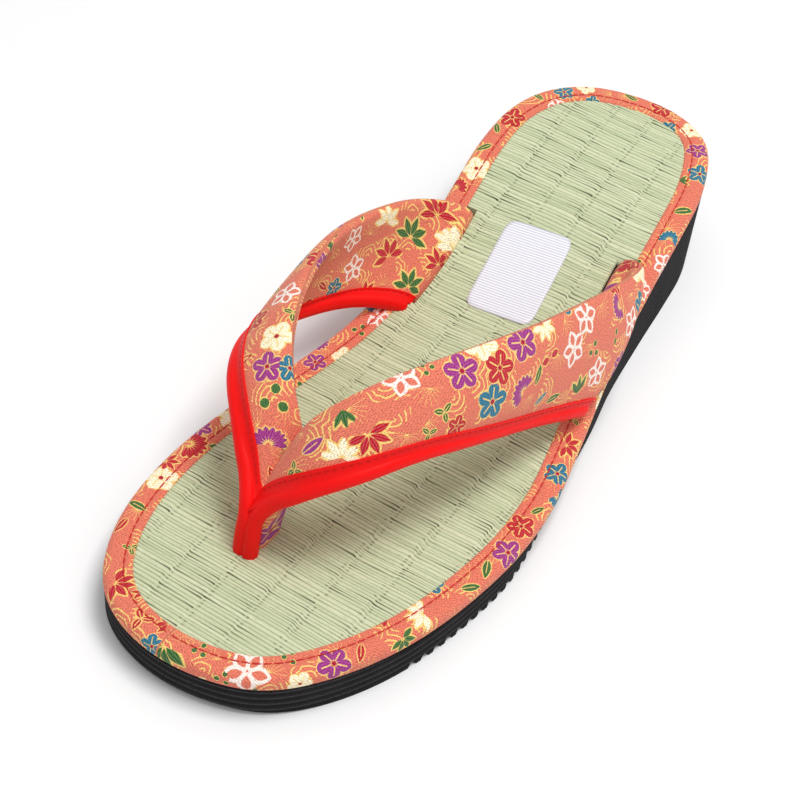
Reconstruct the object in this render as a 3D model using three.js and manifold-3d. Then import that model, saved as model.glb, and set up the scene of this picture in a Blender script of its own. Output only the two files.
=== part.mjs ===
// A left zori sandal: a ribbed foam wedge, a rush-faced footbed with a bound edge, and a padded
// thong strap with piping. Millimetres, +Z up, toe at -Y, heel at +Y, the foot's outer side at +X.
import * as THREE from 'three';
import Module from 'manifold-3d';

const wasm = await Module();
wasm.setup();

// Overall sizes
const LENGTH = 250;
const GAP = 0.3;
const OUTLINE_STEPS = 31;

// Heights and reach that lie outside the whole sandal, for cutting shapes
const BELOW = -25;
const ABOVE = 85;
const OUTSIDE = 20;

// Footbed: one row for each cross section from toe to heel, with its medial and lateral edges
// and the height of its bound edge above the floor
const FOOTBED = [
  { y: -125, medial: -9, lateral: -9, top: 15.8 },
  { y: -118, medial: -32, lateral: 17, top: 15.7 },
  { y: -105, medial: -41.5, lateral: 29.5, top: 15.6 },
  { y: -80, medial: -47.5, lateral: 41.5, top: 15 },
  { y: -60, medial: -47.5, lateral: 46, top: 14.3 },
  { y: -40, medial: -45, lateral: 48, top: 13.8 },
  { y: -20, medial: -41, lateral: 47, top: 14 },
  { y: 0, medial: -37.5, lateral: 43, top: 15.2 },
  { y: 20, medial: -36.5, lateral: 38.5, top: 17.8 },
  { y: 40, medial: -37.5, lateral: 34.5, top: 21.9 },
  { y: 60, medial: -40, lateral: 32, top: 27 },
  { y: 80, medial: -42, lateral: 30, top: 32.2 },
  { y: 95, medial: -41, lateral: 28, top: 35.4 },
  { y: 105, medial: -37.5, lateral: 25, top: 36.6 },
  { y: 118, medial: -26.5, lateral: 17.5, top: 37 },
  { y: 125, medial: -2, lateral: -2, top: 37 },
];

// Bound edge: width on top, height at the side, the tuck under the board, and the cloth's wall at
// the top, the rim and the tuck
const BINDING_TOP = 8;
const BINDING_SIDE = 4.8;
const BINDING_TUCK = 6;
const TOP_WALL = 1.4;
const RIM_WALL = 1.6;
const TUCK_WALL = 1.2;
const BINDING_SECTION = [
  { inset: BINDING_TOP, drop: 0.4 },
  { inset: 7.5, drop: 0.05 },
  { inset: 2.6, drop: 0 },
  { inset: 1, drop: 0.45 },
  { inset: 0.2, drop: 1.4 },
  { inset: 0, drop: 2.5 },
  { inset: 0.1, drop: 3.9 },
  { inset: 0.7, drop: BINDING_SIDE },
  { inset: BINDING_TUCK, drop: BINDING_SIDE },
  { inset: BINDING_TUCK, drop: BINDING_SIDE - TUCK_WALL },
  { inset: RIM_WALL, drop: BINDING_SIDE - TUCK_WALL },
  { inset: RIM_WALL, drop: TOP_WALL },
  { inset: BINDING_TOP, drop: TOP_WALL },
];

// Rush face, a little below the bound edge
const RUSH_DROP = 0.7;

// Strap slots beside the bound edge, by side, by their reach along the foot and by the inset of
// their inner wall
const SLOT_NEAR = 7.9;
const SLOT_STEPS = 10;
const SLOTS = [
  { side: 1, from: 14.2, to: 62.6, far: 14 },
  { side: -1, from: 17.4, to: 55.8, far: 11.8 },
];

// Outsole: set back under the binding and tucked in along the lateral waist
const WALL_SET_BACK = 0.1;
const WAIST_TUCK = 2.4;
const WAIST_Y = -14;
const WAIST_REACH = 36;
const RIB_PITCH = 2.6;
const RIB_DEPTH = 0.55;
const TOE_SPRING = 1.6;
const TOE_SPRING_FROM = -92;
const HEEL_BEVEL = 1.2;
const HEEL_BEVEL_FROM = 108;
const ARCH_RISE = 1.1;
const ARCH_Y = 20;
const ARCH_REACH = 38;

// Tread: V-shaped cross grooves, open at the side under the ball, short of it at the toe and heel,
// and left out under the two plain pads that the sandal stands on
const TREAD_PITCH = 4.2;
const TREAD_WIDTH = 2.8;
const TREAD_ROOT = 0.6;
const TREAD_DEPTH = 1.2;
const TREAD_FROM = -106.5;
const TREAD_TO = 114;
const TREAD_OPEN = { from: -84, to: 18 };
const TREAD_MARGIN = 5;
const PADS = [
  { x: 0, y: -56, width: 36, length: 27 },
  { x: -6, y: 84, width: 30, length: 27 },
];

// Strap arms: one row for each section from the seam over the toe post to the foot of the slot,
// with the section's front and rear edge, its outward bulge and its padded thickness
const SEAM = { front: [-10.4, -80.4, 30.4], rear: [-8.6, -63, 39.2] };
const LATERAL_ARM = [
  { front: SEAM.front, rear: SEAM.rear, bulge: 0.8, thickness: 4.8 },
  { front: [2, -77, 43.5], rear: [-2.5, -64, 55], bulge: 1, thickness: 5 },
  { front: [12.5, -68.5, 49.5], rear: [7, -53, 64], bulge: 1.2, thickness: 5 },
  { front: [21, -54, 50], rear: [17.5, -33, 65], bulge: 1.6, thickness: 5 },
  { front: [28, -35, 44], rear: [26, -6.5, 59.5], bulge: 2, thickness: 5 },
  { front: [33, -11, 32.5], rear: [29.5, 25.5, 48], bulge: 2.6, thickness: 5 },
  { front: [37, 5, 24.5], rear: [29.4, 47, 38.6], bulge: 2.8, thickness: 5 },
  { front: [37, 11.5, 20.2], rear: [27, 57, 34.4], bulge: 2, thickness: 6.4 },
  { front: [30.6, 14.8, 16.5], rear: [22, 61, 28.6], bulge: 0.6, thickness: 6.8 },
  { front: [28.8, 15, 8], rear: [21.2, 61, 18], bulge: 0.2, thickness: 5.4 },
];
const MEDIAL_ARM = [
  { front: SEAM.front, rear: SEAM.rear, bulge: 0.8, thickness: 4.8 },
  { front: [-23.5, -68.5, 42], rear: [-16.5, -57, 49.5], bulge: 1, thickness: 5 },
  { front: [-35, -55.5, 44], rear: [-27, -43, 53.5], bulge: 0.8, thickness: 5 },
  { front: [-42.5, -40, 40], rear: [-36.5, -22, 52.5], bulge: 0.6, thickness: 5 },
  { front: [-45, -22.5, 32.5], rear: [-42.5, 3, 48], bulge: 0.8, thickness: 5 },
  { front: [-41.5, -2, 25], rear: [-41, 29.5, 39.5], bulge: 1.4, thickness: 5 },
  { front: [-35, 10, 20.5], rear: [-36, 46, 32], bulge: 1.8, thickness: 5 },
  { front: [-27.4, 18, 15.5], rear: [-29.8, 54.6, 25], bulge: 0.6, thickness: 4.8 },
  { front: [-26.8, 18.4, 8], rear: [-29.4, 54.6, 16], bulge: 0.2, thickness: 4.8 },
];
const ARM_STEPS = 3;
const SECTION_STEPS = 8;
const SECTION_POWER = 3;

// Toe post: a flattened cloth loop, one row for each section from its foot to the seam
const POST_X = -10.3;
const POST = [
  { zFront: 7, zRear: 7, yFront: -84, yRear: -73.5, halfWidth: 3.3 },
  { zFront: 15, zRear: 15, yFront: -84, yRear: -73.5, halfWidth: 3.3 },
  { zFront: 21, zRear: 21, yFront: -83.2, yRear: -71, halfWidth: 3.5 },
  { zFront: 26.5, zRear: 30, yFront: -81.8, yRear: -67, halfWidth: 4.4 },
  { zFront: 32, zRear: 39.5, yFront: -80.2, yRear: -63.4, halfWidth: 4.2 },
];
const POST_SIDES = 20;

// Piping: along the front edge of each arm, then down the front of the toe post
const PIPING_RADIUS = 2.6;
const PIPING_REACH = 2.3;
const PIPING_POST_RADIUS = 1.8;
const PIPING_SPREAD = 2;
const PIPING_SIDES = 8;
const PIPING_STEPS = 32;
const PIPING_END = { lateral: 7, medial: 6.6 };
const PIPING_ROWS = [6.3, 6, 5.5, 5, 4.5, 4, 3.5, 3, 2.5, 2, 1.5, 1, 0.6];
const PIPING_POST = [
  { y: -83.6, z: 27.6 },
  { y: -85.4, z: 21 },
  { y: -86.2, z: 15 },
  { y: -86.2, z: 7 },
];

// Smooth curve through values at rising knots, held level past both ends
function smoothCurve(knots, values) {
  const last = knots.length - 1;
  const secant = (i) => (values[i + 1] - values[i]) / (knots[i + 1] - knots[i]);
  const slopes = knots.map((knot, i) => {
    if (i === 0) return secant(0);
    if (i === last) return secant(last - 1);
    const before = knot - knots[i - 1];
    const after = knots[i + 1] - knot;
    return (after * secant(i - 1) + before * secant(i)) / (before + after);
  });
  return (at) => {
    const place = THREE.MathUtils.clamp(at, knots[0], knots[last]);
    const next = Math.max(1, knots.findIndex((knot) => knot >= place));
    const i = next - 1;
    const width = knots[next] - knots[i];
    const t = (place - knots[i]) / width;
    const rise = t * t * (3 - 2 * t);
    const leave = t * (1 - t) * (1 - t) * width * slopes[i];
    const arrive = t * t * (1 - t) * width * slopes[next];
    return values[i] + (values[next] - values[i]) * rise + leave - arrive;
  };
}

// Rounded bump of height 1 around a centre
function bump(at, centre, reach) {
  const t = Math.min(1, Math.abs(at - centre) / reach);
  return 0.5 + 0.5 * Math.cos(Math.PI * t);
}

const top = smoothCurve(FOOTBED.map((row) => row.y), FOOTBED.map((row) => row.top));

// The outline runs once around the foot: angle 0 is the toe tip, then the lateral side,
// the heel tip at pi, and the medial side back
const sideAngle = (y, side) => {
  const angle = Math.acos(THREE.MathUtils.clamp(-2 * y / LENGTH, -1, 1));
  return side > 0 ? angle : 2 * Math.PI - angle;
};

function makeOutline() {
  const lateral = FOOTBED.map((row) => ({ angle: sideAngle(row.y, 1), x: row.lateral }));
  const medial = FOOTBED.slice(1, -1).map((row) => ({ angle: sideAngle(row.y, -1), x: row.medial }));
  const turn = [...lateral, ...medial.reverse()];
  const shifted = (rows, by) => rows.map((row) => ({ angle: row.angle + by, x: row.x }));
  const rows = [...shifted(turn.slice(-3), -2 * Math.PI), ...turn, ...shifted(turn.slice(0, 3), 2 * Math.PI)];
  const acrossAt = smoothCurve(rows.map((row) => row.angle), rows.map((row) => row.x));
  return (angle) => new THREE.Vector2(acrossAt(angle), -0.5 * LENGTH * Math.cos(angle));
}
const outline = makeOutline();

// Point set in from the outline, square to it
function insetPoint(angle, inset) {
  const step = 0.01;
  const turn = (value) => (value + 2 * Math.PI) % (2 * Math.PI);
  const along = outline(turn(angle + step)).sub(outline(turn(angle - step))).normalize();
  const inward = new THREE.Vector2(-along.y, along.x);
  return outline(angle).addScaledVector(inward, inset);
}

// Ring of points around the foot: the inset may change with the angle, the height with y
function ring(insetAt, heightAt) {
  return Array.from({ length: 2 * OUTLINE_STEPS }, (_, i) => {
    const angle = Math.PI * i / OUTLINE_STEPS;
    const point = insetPoint(angle, insetAt(angle));
    return new THREE.Vector3(point.x, point.y, heightAt(point.y));
  });
}

// Closed solid from points and triangles, turned so that its faces look out
function solid(points, triangles) {
  const volume = triangles.reduce((sum, [a, b, c]) => {
    const normal = new THREE.Vector3().crossVectors(points[b], points[c]);
    return sum + points[a].dot(normal);
  }, 0);
  const facing = volume > 0 ? triangles : triangles.map(([a, b, c]) => [a, c, b]);
  const vertProperties = new Float32Array(points.flatMap((point) => point.toArray()));
  const triVerts = new Uint32Array(facing.flat());
  return new wasm.Manifold(new wasm.Mesh({ numProp: 3, vertProperties, triVerts }));
}

// Bands of triangles between neighbouring rings
function bands(rings, closed) {
  const count = rings[0].length;
  const triangles = [];
  const total = closed ? rings.length : rings.length - 1;
  for (let r = 0; r < total; r += 1) {
    const here = r * count;
    const there = ((r + 1) % rings.length) * count;
    for (let i = 0; i < count; i += 1) {
      const j = (i + 1) % count;
      triangles.push([here + i, here + j, there + j], [here + i, there + j, there + i]);
    }
  }
  return triangles;
}

// Flat end of a loft, laced from one half of its ring to the other
function cap(start, count, flip) {
  const half = count / 2;
  const triangles = [[0, 1, count - 1]];
  for (let i = 1; i < half - 1; i += 1) {
    triangles.push([i, i + 1, count - i - 1], [i, count - i - 1, count - i]);
  }
  triangles.push([half - 1, half, half + 1]);
  return triangles.map(([a, b, c]) => (flip ? [a, c, b] : [a, b, c]).map((corner) => start + corner));
}

// Loft through rings with both ends closed
function loft(rings) {
  const count = rings[0].length;
  const ends = [...cap(0, count, true), ...cap((rings.length - 1) * count, count, false)];
  return solid(rings.flat(), [...bands(rings, false), ...ends]);
}

// Loft through rings that closes on itself
const hoop = (rings) => solid(rings.flat(), bands(rings, true));

// Ring at a fixed inset and a fixed drop below the top of the bound edge
const dropRing = (inset, drop) => ring(() => inset, (y) => top(y) - drop);

// Upright block through the board along one side, between two insets
function sidePrism(side, from, to, near, far) {
  const rings = Array.from({ length: SLOT_STEPS + 1 }, (_, i) => {
    const angle = sideAngle(from + (to - from) * i / SLOT_STEPS, side);
    const outer = insetPoint(angle, near);
    const inner = insetPoint(angle, far);
    return [
      new THREE.Vector3(outer.x, outer.y, BELOW),
      new THREE.Vector3(outer.x, outer.y, ABOVE),
      new THREE.Vector3(inner.x, inner.y, ABOVE),
      new THREE.Vector3(inner.x, inner.y, BELOW),
    ];
  });
  return loft(rings);
}

// Rounded ring of the toe post's section
function postRing(row, grow) {
  return Array.from({ length: POST_SIDES }, (_, i) => {
    const angle = 2 * Math.PI * i / POST_SIDES;
    const squared = (value) => Math.sign(value) * Math.sqrt(Math.abs(value));
    const along = 0.5 + 0.5 * squared(-Math.cos(angle));
    const across = squared(Math.sin(angle));
    const y = THREE.MathUtils.lerp(row.yFront - grow, row.yRear + grow, along);
    const z = THREE.MathUtils.lerp(row.zFront, row.zRear, along);
    return new THREE.Vector3(POST_X + across * (row.halfWidth + grow), y, z);
  });
}

// Hole through the board for the toe post and its piping
function toeHole(clearance) {
  const foot = POST[0];
  const reach = 2 * PIPING_POST_RADIUS + GAP;
  const sleeve = (z) => postRing({
    zFront: z,
    zRear: z,
    yFront: foot.yFront - reach,
    yRear: foot.yRear,
    halfWidth: Math.max(foot.halfWidth, PIPING_SPREAD + PIPING_POST_RADIUS),
  }, clearance);
  return loft([sleeve(BELOW), sleeve(ABOVE)]);
}

// Underside of the sole: flat at ball and heel, lifted at the toe, the arch and the heel's rim
function underside(y) {
  const toe = Math.max(0, (TOE_SPRING_FROM - y) / (TOE_SPRING_FROM + LENGTH / 2));
  const heel = Math.max(0, (y - HEEL_BEVEL_FROM) / (LENGTH / 2 - HEEL_BEVEL_FROM));
  return TOE_SPRING * toe ** 2 + HEEL_BEVEL * heel ** 2 + ARCH_RISE * bump(y, ARCH_Y, ARCH_REACH);
}

// Side wall of the sole: level ribs from floor to heel height
function ribbedBlock() {
  const wall = (angle) => {
    const lateral = Math.max(0, Math.sin(angle));
    const y = outline(angle).y;
    return WALL_SET_BACK + WAIST_TUCK * lateral * bump(y, WAIST_Y, WAIST_REACH);
  };
  const ribs = Math.ceil(top(LENGTH / 2) / RIB_PITCH) + 1;
  const rings = Array.from({ length: 2 * ribs + 1 }, (_, i) => {
    const depth = i % 2 === 0 ? RIB_DEPTH : 0;
    return ring((angle) => wall(angle) + depth, () => (i - 1) * RIB_PITCH / 2);
  });
  return loft(rings);
}

// V-shaped groove across the sole from one x to another
function groove(y, fromX, toX) {
  const level = (z, half) => [[fromX, -half], [toX, -half], [toX, half], [fromX, half]].map(([x, shift]) => (
    new THREE.Vector3(x, y + shift, z)
  ));
  const floor = underside(y);
  const mouth = level(floor - TREAD_DEPTH, TREAD_WIDTH - TREAD_ROOT / 2);
  return loft([mouth, level(floor + TREAD_DEPTH, TREAD_ROOT / 2)]);
}

// All the grooves of the tread: open at the wall along the middle, and each stopping short of a pad
function treadGrooves() {
  const grooves = [];
  for (let y = TREAD_FROM; y <= TREAD_TO; y += TREAD_PITCH) {
    const open = y > TREAD_OPEN.from && y < TREAD_OPEN.to;
    const margin = open ? -OUTSIDE : TREAD_MARGIN;
    const medial = insetPoint(sideAngle(y, -1), margin).x;
    const lateral = insetPoint(sideAngle(y, 1), margin).x;
    const pad = PADS.find((row) => Math.abs(y - row.y) < row.length / 2 + TREAD_WIDTH / 2);
    if (pad) {
      grooves.push(groove(y, medial, pad.x - pad.width / 2), groove(y, pad.x + pad.width / 2, lateral));
    } else {
      grooves.push(groove(y, medial, lateral));
    }
  }
  return wasm.Manifold.union(grooves);
}

function makeOutsole() {
  const bottom = ring(() => -OUTSIDE, underside);
  const seat = ring(() => -OUTSIDE, (y) => top(y) - BINDING_SIDE - GAP);
  return ribbedBlock().intersect(loft([bottom, seat])).subtract(treadGrooves());
}

function makeBinding() {
  return hoop(BINDING_SECTION.map((row) => dropRing(row.inset, row.drop)));
}

function makeFootbed() {
  const rim = RIM_WALL + GAP;
  const rebate = TOP_WALL + GAP;
  const face = BINDING_TOP + GAP;
  const tuck = BINDING_TUCK + GAP;
  const under = BINDING_SIDE - TUCK_WALL - GAP;
  let board = loft([
    dropRing(face, RUSH_DROP),
    dropRing(face, rebate),
    dropRing(rim, rebate),
    dropRing(rim, under),
    dropRing(tuck, under),
    dropRing(tuck, BINDING_SIDE),
  ]);
  SLOTS.forEach((slot) => {
    board = board.subtract(sidePrism(slot.side, slot.from, slot.to, SLOT_NEAR, slot.far));
  });
  return board.subtract(toeHole(GAP));
}

// Space that the strap and piping keep clear of: binding, rush face and board, less the slots
function keepOut() {
  let block = loft([
    dropRing(BINDING_TOP + GAP, 2 * BINDING_SIDE),
    dropRing(-OUTSIDE, 2 * BINDING_SIDE),
    dropRing(-OUTSIDE, -GAP),
    dropRing(BINDING_TOP + GAP, -GAP),
    dropRing(BINDING_TOP + GAP, RUSH_DROP - GAP),
  ]);
  SLOTS.forEach((slot) => {
    const tab = sidePrism(slot.side, slot.from + GAP, slot.to - GAP, BINDING_TOP + GAP, slot.far - GAP);
    block = block.subtract(tab);
  });
  const floor = loft([dropRing(-OUTSIDE, 3 * BINDING_SIDE), dropRing(-OUTSIDE, BINDING_SIDE)]);
  return block.subtract(toeHole(0)).add(floor);
}

// One strap arm as functions of t along its rows and s from its front to its rear edge
function armShape(rows, side) {
  const knots = rows.map((_, i) => i);
  const axes = [0, 1, 2];
  const edge = (name) => axes.map((axis) => smoothCurve(knots, rows.map((row) => row[name][axis])));
  const frontCurves = edge('front');
  const rearCurves = edge('rear');
  const bulge = smoothCurve(knots, rows.map((row) => row.bulge));
  const thickness = smoothCurve(knots, rows.map((row) => row.thickness));
  const pointOf = (curves, t) => new THREE.Vector3(...curves.map((curve) => curve(t)));
  const chordPoint = (t, s) => pointOf(frontCurves, t).lerp(pointOf(rearCurves, t), s);
  const squareTo = (place, t, s) => {
    const step = 0.02;
    const along = place(t + step, s).sub(place(t - step, s));
    const across = place(t, s + step).sub(place(t, s - step));
    return along.cross(across).multiplyScalar(side).normalize();
  };
  const middle = (t, s) => {
    const outward = squareTo(chordPoint, t, 0.5);
    return chordPoint(t, s).addScaledVector(outward, 4 * s * (1 - s) * bulge(t));
  };
  return { thickness, middle, normal: (t, s) => squareTo(middle, t, s) };
}

// Closed ring around the padded section at t
function armRing(shape, t) {
  return Array.from({ length: 2 * SECTION_STEPS }, (_, i) => {
    const angle = Math.PI * i / SECTION_STEPS;
    const s = 0.5 - 0.5 * Math.cos(angle);
    const edge = Math.abs(2 * s - 1) ** SECTION_POWER;
    const fullness = (1 - Math.min(1, edge)) ** (1 / SECTION_POWER);
    const face = Math.sin(angle) >= 0 ? 1 : -1;
    const lift = face * fullness * shape.thickness(t) / 2;
    return shape.middle(t, s).addScaledVector(shape.normal(t, s), lift);
  });
}

function makeArm(shape, rows) {
  const steps = (rows.length - 1) * ARM_STEPS;
  return loft(Array.from({ length: steps + 1 }, (_, i) => armRing(shape, i / ARM_STEPS)));
}

const lateralShape = armShape(LATERAL_ARM, 1);
const medialShape = armShape(MEDIAL_ARM, -1);

function makeStrap(clear) {
  const post = loft(POST.map((row) => postRing(row, 0)));
  const arms = makeArm(lateralShape, LATERAL_ARM).add(makeArm(medialShape, MEDIAL_ARM));
  const beds = pipingTube(lateralShape, 1, GAP).add(pipingTube(medialShape, -1, GAP));
  return arms.add(post).subtract(clear).subtract(beds);
}

// Round tube along a route, with a radius at each point of the route
function taperedTube(points, radii) {
  const curve = new THREE.CatmullRomCurve3(points);
  const radiusAt = smoothCurve(radii.map((_, i) => i), radii);
  const frames = curve.computeFrenetFrames(PIPING_STEPS, false);
  const rings = Array.from({ length: PIPING_STEPS + 1 }, (_, i) => {
    const u = i / PIPING_STEPS;
    const t = curve.getUtoTmapping(u);
    const centre = curve.getPoint(t);
    const radius = radiusAt(t * (points.length - 1));
    return Array.from({ length: PIPING_SIDES }, (_unused, k) => {
      const angle = 2 * Math.PI * k / PIPING_SIDES;
      return centre.clone()
        .addScaledVector(frames.normals[i], radius * Math.cos(angle))
        .addScaledVector(frames.binormals[i], radius * Math.sin(angle));
    });
  });
  return loft(rings);
}

// Piping of one arm, seated in the strap's front edge, with a wider tube for the seat it needs
function pipingTube(shape, side, grow) {
  const end = side > 0 ? PIPING_END.lateral : PIPING_END.medial;
  const edge = [end + grow / 2, ...PIPING_ROWS].map((t) => {
    const front = shape.middle(t, 0);
    const outward = front.clone().sub(shape.middle(t, 0.04)).normalize();
    return front.addScaledVector(outward, PIPING_REACH);
  });
  const down = PIPING_POST.map((row) => (
    new THREE.Vector3(POST_X + side * (PIPING_SPREAD + GAP / 2), row.y, row.z)
  ));
  const radii = [...edge.map(() => PIPING_RADIUS), ...down.map(() => PIPING_POST_RADIUS)];
  return taperedTube([...edge, ...down], radii.map((radius) => radius + grow));
}

function mesh(name, body, color, roughness) {
  const raw = body.getMesh();
  const geometry = new THREE.BufferGeometry();
  geometry.setAttribute('position', new THREE.BufferAttribute(new Float32Array(raw.vertProperties), 3));
  geometry.setIndex(new THREE.BufferAttribute(new Uint32Array(raw.triVerts), 1));
  geometry.computeVertexNormals();
  const material = new THREE.MeshStandardMaterial({ color, roughness, metalness: 0 });
  const part = new THREE.Mesh(geometry, material);
  part.name = name;
  return part;
}

const clear = keepOut();
const sandal = new THREE.Group();
sandal.add(
  mesh('outsole', makeOutsole(), '#232224', 0.9),
  mesh('footbed', makeFootbed(), '#c3cd96', 0.75),
  mesh('edge_binding', makeBinding(), '#ee8860', 0.85),
  mesh('strap_upper', makeStrap(clear), '#ee8860', 0.8),
  mesh('piping_lateral', pipingTube(lateralShape, 1, 0).subtract(clear), '#e81410', 0.45),
  mesh('piping_medial', pipingTube(medialShape, -1, 0).subtract(clear), '#e81410', 0.45),
);

// Stand the sandal on the floor over the origin
const bounds = new THREE.Box3().setFromObject(sandal);
const centre = bounds.getCenter(new THREE.Vector3());
sandal.position.set(-centre.x, -centre.y, -bounds.min.z);

export default sandal;
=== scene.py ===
import math

import bmesh
import bpy
import numpy as np
from mathutils import Matrix, Vector


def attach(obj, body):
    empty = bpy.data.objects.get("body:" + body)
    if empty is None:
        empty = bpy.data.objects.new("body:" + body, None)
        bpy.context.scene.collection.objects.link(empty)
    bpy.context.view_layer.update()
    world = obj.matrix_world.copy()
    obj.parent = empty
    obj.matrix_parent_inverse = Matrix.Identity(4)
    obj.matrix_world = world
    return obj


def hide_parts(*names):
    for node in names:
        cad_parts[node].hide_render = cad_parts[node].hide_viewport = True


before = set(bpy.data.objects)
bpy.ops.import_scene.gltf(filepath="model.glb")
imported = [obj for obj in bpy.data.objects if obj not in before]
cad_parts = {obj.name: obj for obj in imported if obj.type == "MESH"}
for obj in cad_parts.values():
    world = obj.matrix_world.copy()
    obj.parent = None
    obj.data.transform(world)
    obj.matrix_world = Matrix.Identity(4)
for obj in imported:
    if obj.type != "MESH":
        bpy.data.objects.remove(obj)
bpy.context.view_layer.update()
rng = np.random.default_rng(11)

# Sizes in millimetres: +Z up, toe at -Y, heel at +Y, the foot's outer side at +X
MM = 0.001
LENGTH = 250.0

# Footbed sections from toe to heel: y, medial edge, lateral edge, height of the bound edge
FOOTBED = np.array([
    (-125, -9, -9, 15.8),
    (-118, -32, 17, 15.7),
    (-105, -41.5, 29.5, 15.6),
    (-80, -47.5, 41.5, 15),
    (-60, -47.5, 46, 14.3),
    (-40, -45, 48, 13.8),
    (-20, -41, 47, 14),
    (0, -37.5, 43, 15.2),
    (20, -36.5, 38.5, 17.8),
    (40, -37.5, 34.5, 21.9),
    (60, -40, 32, 27),
    (80, -42, 30, 32.2),
    (95, -41, 28, 35.4),
    (105, -37.5, 25, 36.6),
    (118, -26.5, 17.5, 37),
    (125, -2, -2, 37),
])

# Strap arms from the seam over the toe post to the slot: front edge, rear edge, bulge, thickness
SEAM_FRONT = (-10.4, -80.4, 30.4)
SEAM_REAR = (-8.6, -63, 39.2)
LATERAL_ARM = [
    (SEAM_FRONT, SEAM_REAR, 0.8, 4.8),
    ((2, -77, 43.5), (-2.5, -64, 55), 1, 5),
    ((12.5, -68.5, 49.5), (7, -53, 64), 1.2, 5),
    ((21, -54, 50), (17.5, -33, 65), 1.6, 5),
    ((28, -35, 44), (26, -6.5, 59.5), 2, 5),
    ((33, -11, 32.5), (29.5, 25.5, 48), 2.6, 5),
    ((37, 5, 24.5), (29.4, 47, 38.6), 2.8, 5),
    ((37, 11.5, 20.2), (27, 57, 34.4), 2, 6.4),
    ((30.6, 14.8, 16.5), (22, 61, 28.6), 0.6, 6.8),
    ((28.8, 15, 8), (21.2, 61, 18), 0.2, 5.4),
]
MEDIAL_ARM = [
    (SEAM_FRONT, SEAM_REAR, 0.8, 4.8),
    ((-23.5, -68.5, 42), (-16.5, -57, 49.5), 1, 5),
    ((-35, -55.5, 44), (-27, -43, 53.5), 0.8, 5),
    ((-42.5, -40, 40), (-36.5, -22, 52.5), 0.6, 5),
    ((-45, -22.5, 32.5), (-42.5, 3, 48), 0.8, 5),
    ((-41.5, -2, 25), (-41, 29.5, 39.5), 1.4, 5),
    ((-35, 10, 20.5), (-36, 46, 32), 1.8, 5),
    ((-27.4, 18, 15.5), (-29.8, 54.6, 25), 0.6, 4.8),
    ((-26.8, 18.4, 8), (-29.4, 54.6, 16), 0.2, 4.8),
]

# Section of an arm: squareness, reach of the seam's shared direction, its crease, step in from the edge
SECTION_POWER = 3
SEAM_BLEND = 0.7
SEAM_CREASE = 0.3
SEAM_CREASE_REACH = 0.12
EDGE_STEP = 0.04


def smooth_curve(knots, values):
    """Smooth curve through values or points at rising knots, held level past both ends."""
    knots = np.asarray(knots, float)
    values = np.asarray(values, float)
    columns = (-1,) + (1,) * (values.ndim - 1)
    widths = np.diff(knots)
    secants = np.diff(values, axis=0) / widths.reshape(columns)
    before = widths[:-1].reshape(columns)
    after = widths[1:].reshape(columns)
    inner = (after * secants[:-1] + before * secants[1:]) / (before + after)
    slopes = np.concatenate([secants[:1], inner, secants[-1:]])

    def at(place):
        place = np.clip(np.asarray(place, float), knots[0], knots[-1])
        i = np.clip(np.searchsorted(knots, place) - 1, 0, len(widths) - 1)
        width = widths[i]
        t = (place - knots[i]) / width
        if values.ndim > 1:
            t, width = t[..., None], width[..., None]
        rise = t * t * (3 - 2 * t)
        leave = t * (1 - t) ** 2 * width * slopes[i]
        arrive = t * t * (1 - t) * width * slopes[i + 1]
        return values[i] + (values[i + 1] - values[i]) * rise + leave - arrive

    return at


def unit(vectors):
    return vectors / np.linalg.norm(vectors, axis=-1, keepdims=True)


def bump(at, centre, reach):
    """Rounded bump of height 1 around a centre."""
    return 0.5 + 0.5 * np.cos(np.pi * np.minimum(1, np.abs(at - centre) / reach))


def bell(at, centre, width):
    """Bell curve of height 1 around a centre."""
    return np.exp(-(((at - centre) / width) ** 2))


def rounded(wave, power):
    """Side of a rounded square from a sine or cosine: power 2 makes a circle, more is squarer."""
    return np.sign(wave) * np.abs(wave) ** (2 / power)


def walk(points):
    """Length walked along a path up to each of its points."""
    return np.concatenate([[0], np.cumsum(np.linalg.norm(np.diff(points, axis=0), axis=-1))])


def ramp(at, start, end):
    """Smooth step from 0 at start to 1 at end."""
    t = np.clip((at - start) / (end - start), 0, 1)
    return t * t * (3 - 2 * t)


top = smooth_curve(FOOTBED[:, 0], FOOTBED[:, 3])


def side_angle(y, side):
    """Angle around the outline at y: 0 is the toe tip, then the lateral side, pi the heel tip."""
    angle = np.arccos(np.clip(-2 * np.asarray(y) / LENGTH, -1, 1))
    return angle if side > 0 else 2 * np.pi - angle


def make_outline():
    y, medial, lateral, _ = FOOTBED.T
    angles = np.concatenate([side_angle(y, 1), side_angle(y[-2:0:-1], -1)])
    across = np.concatenate([lateral, medial[-2:0:-1]])
    angles = np.concatenate([angles[-3:] - 2 * np.pi, angles, angles[:3] + 2 * np.pi])
    across = np.concatenate([across[-3:], across, across[:3]])
    across_at = smooth_curve(angles, across)

    def at(angle):
        angle = np.mod(angle, 2 * np.pi)
        return np.stack([across_at(angle), -LENGTH / 2 * np.cos(angle)], axis=-1)

    return at


outline = make_outline()


def inset_point(angle, inset):
    """Point set in from the outline, square to it."""
    step = 0.01
    along = unit(outline(angle + step) - outline(angle - step))
    inward = np.stack([-along[..., 1], along[..., 0]], axis=-1)
    return outline(angle) + inward * np.broadcast_to(inset, np.shape(angle))[..., None]


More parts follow.
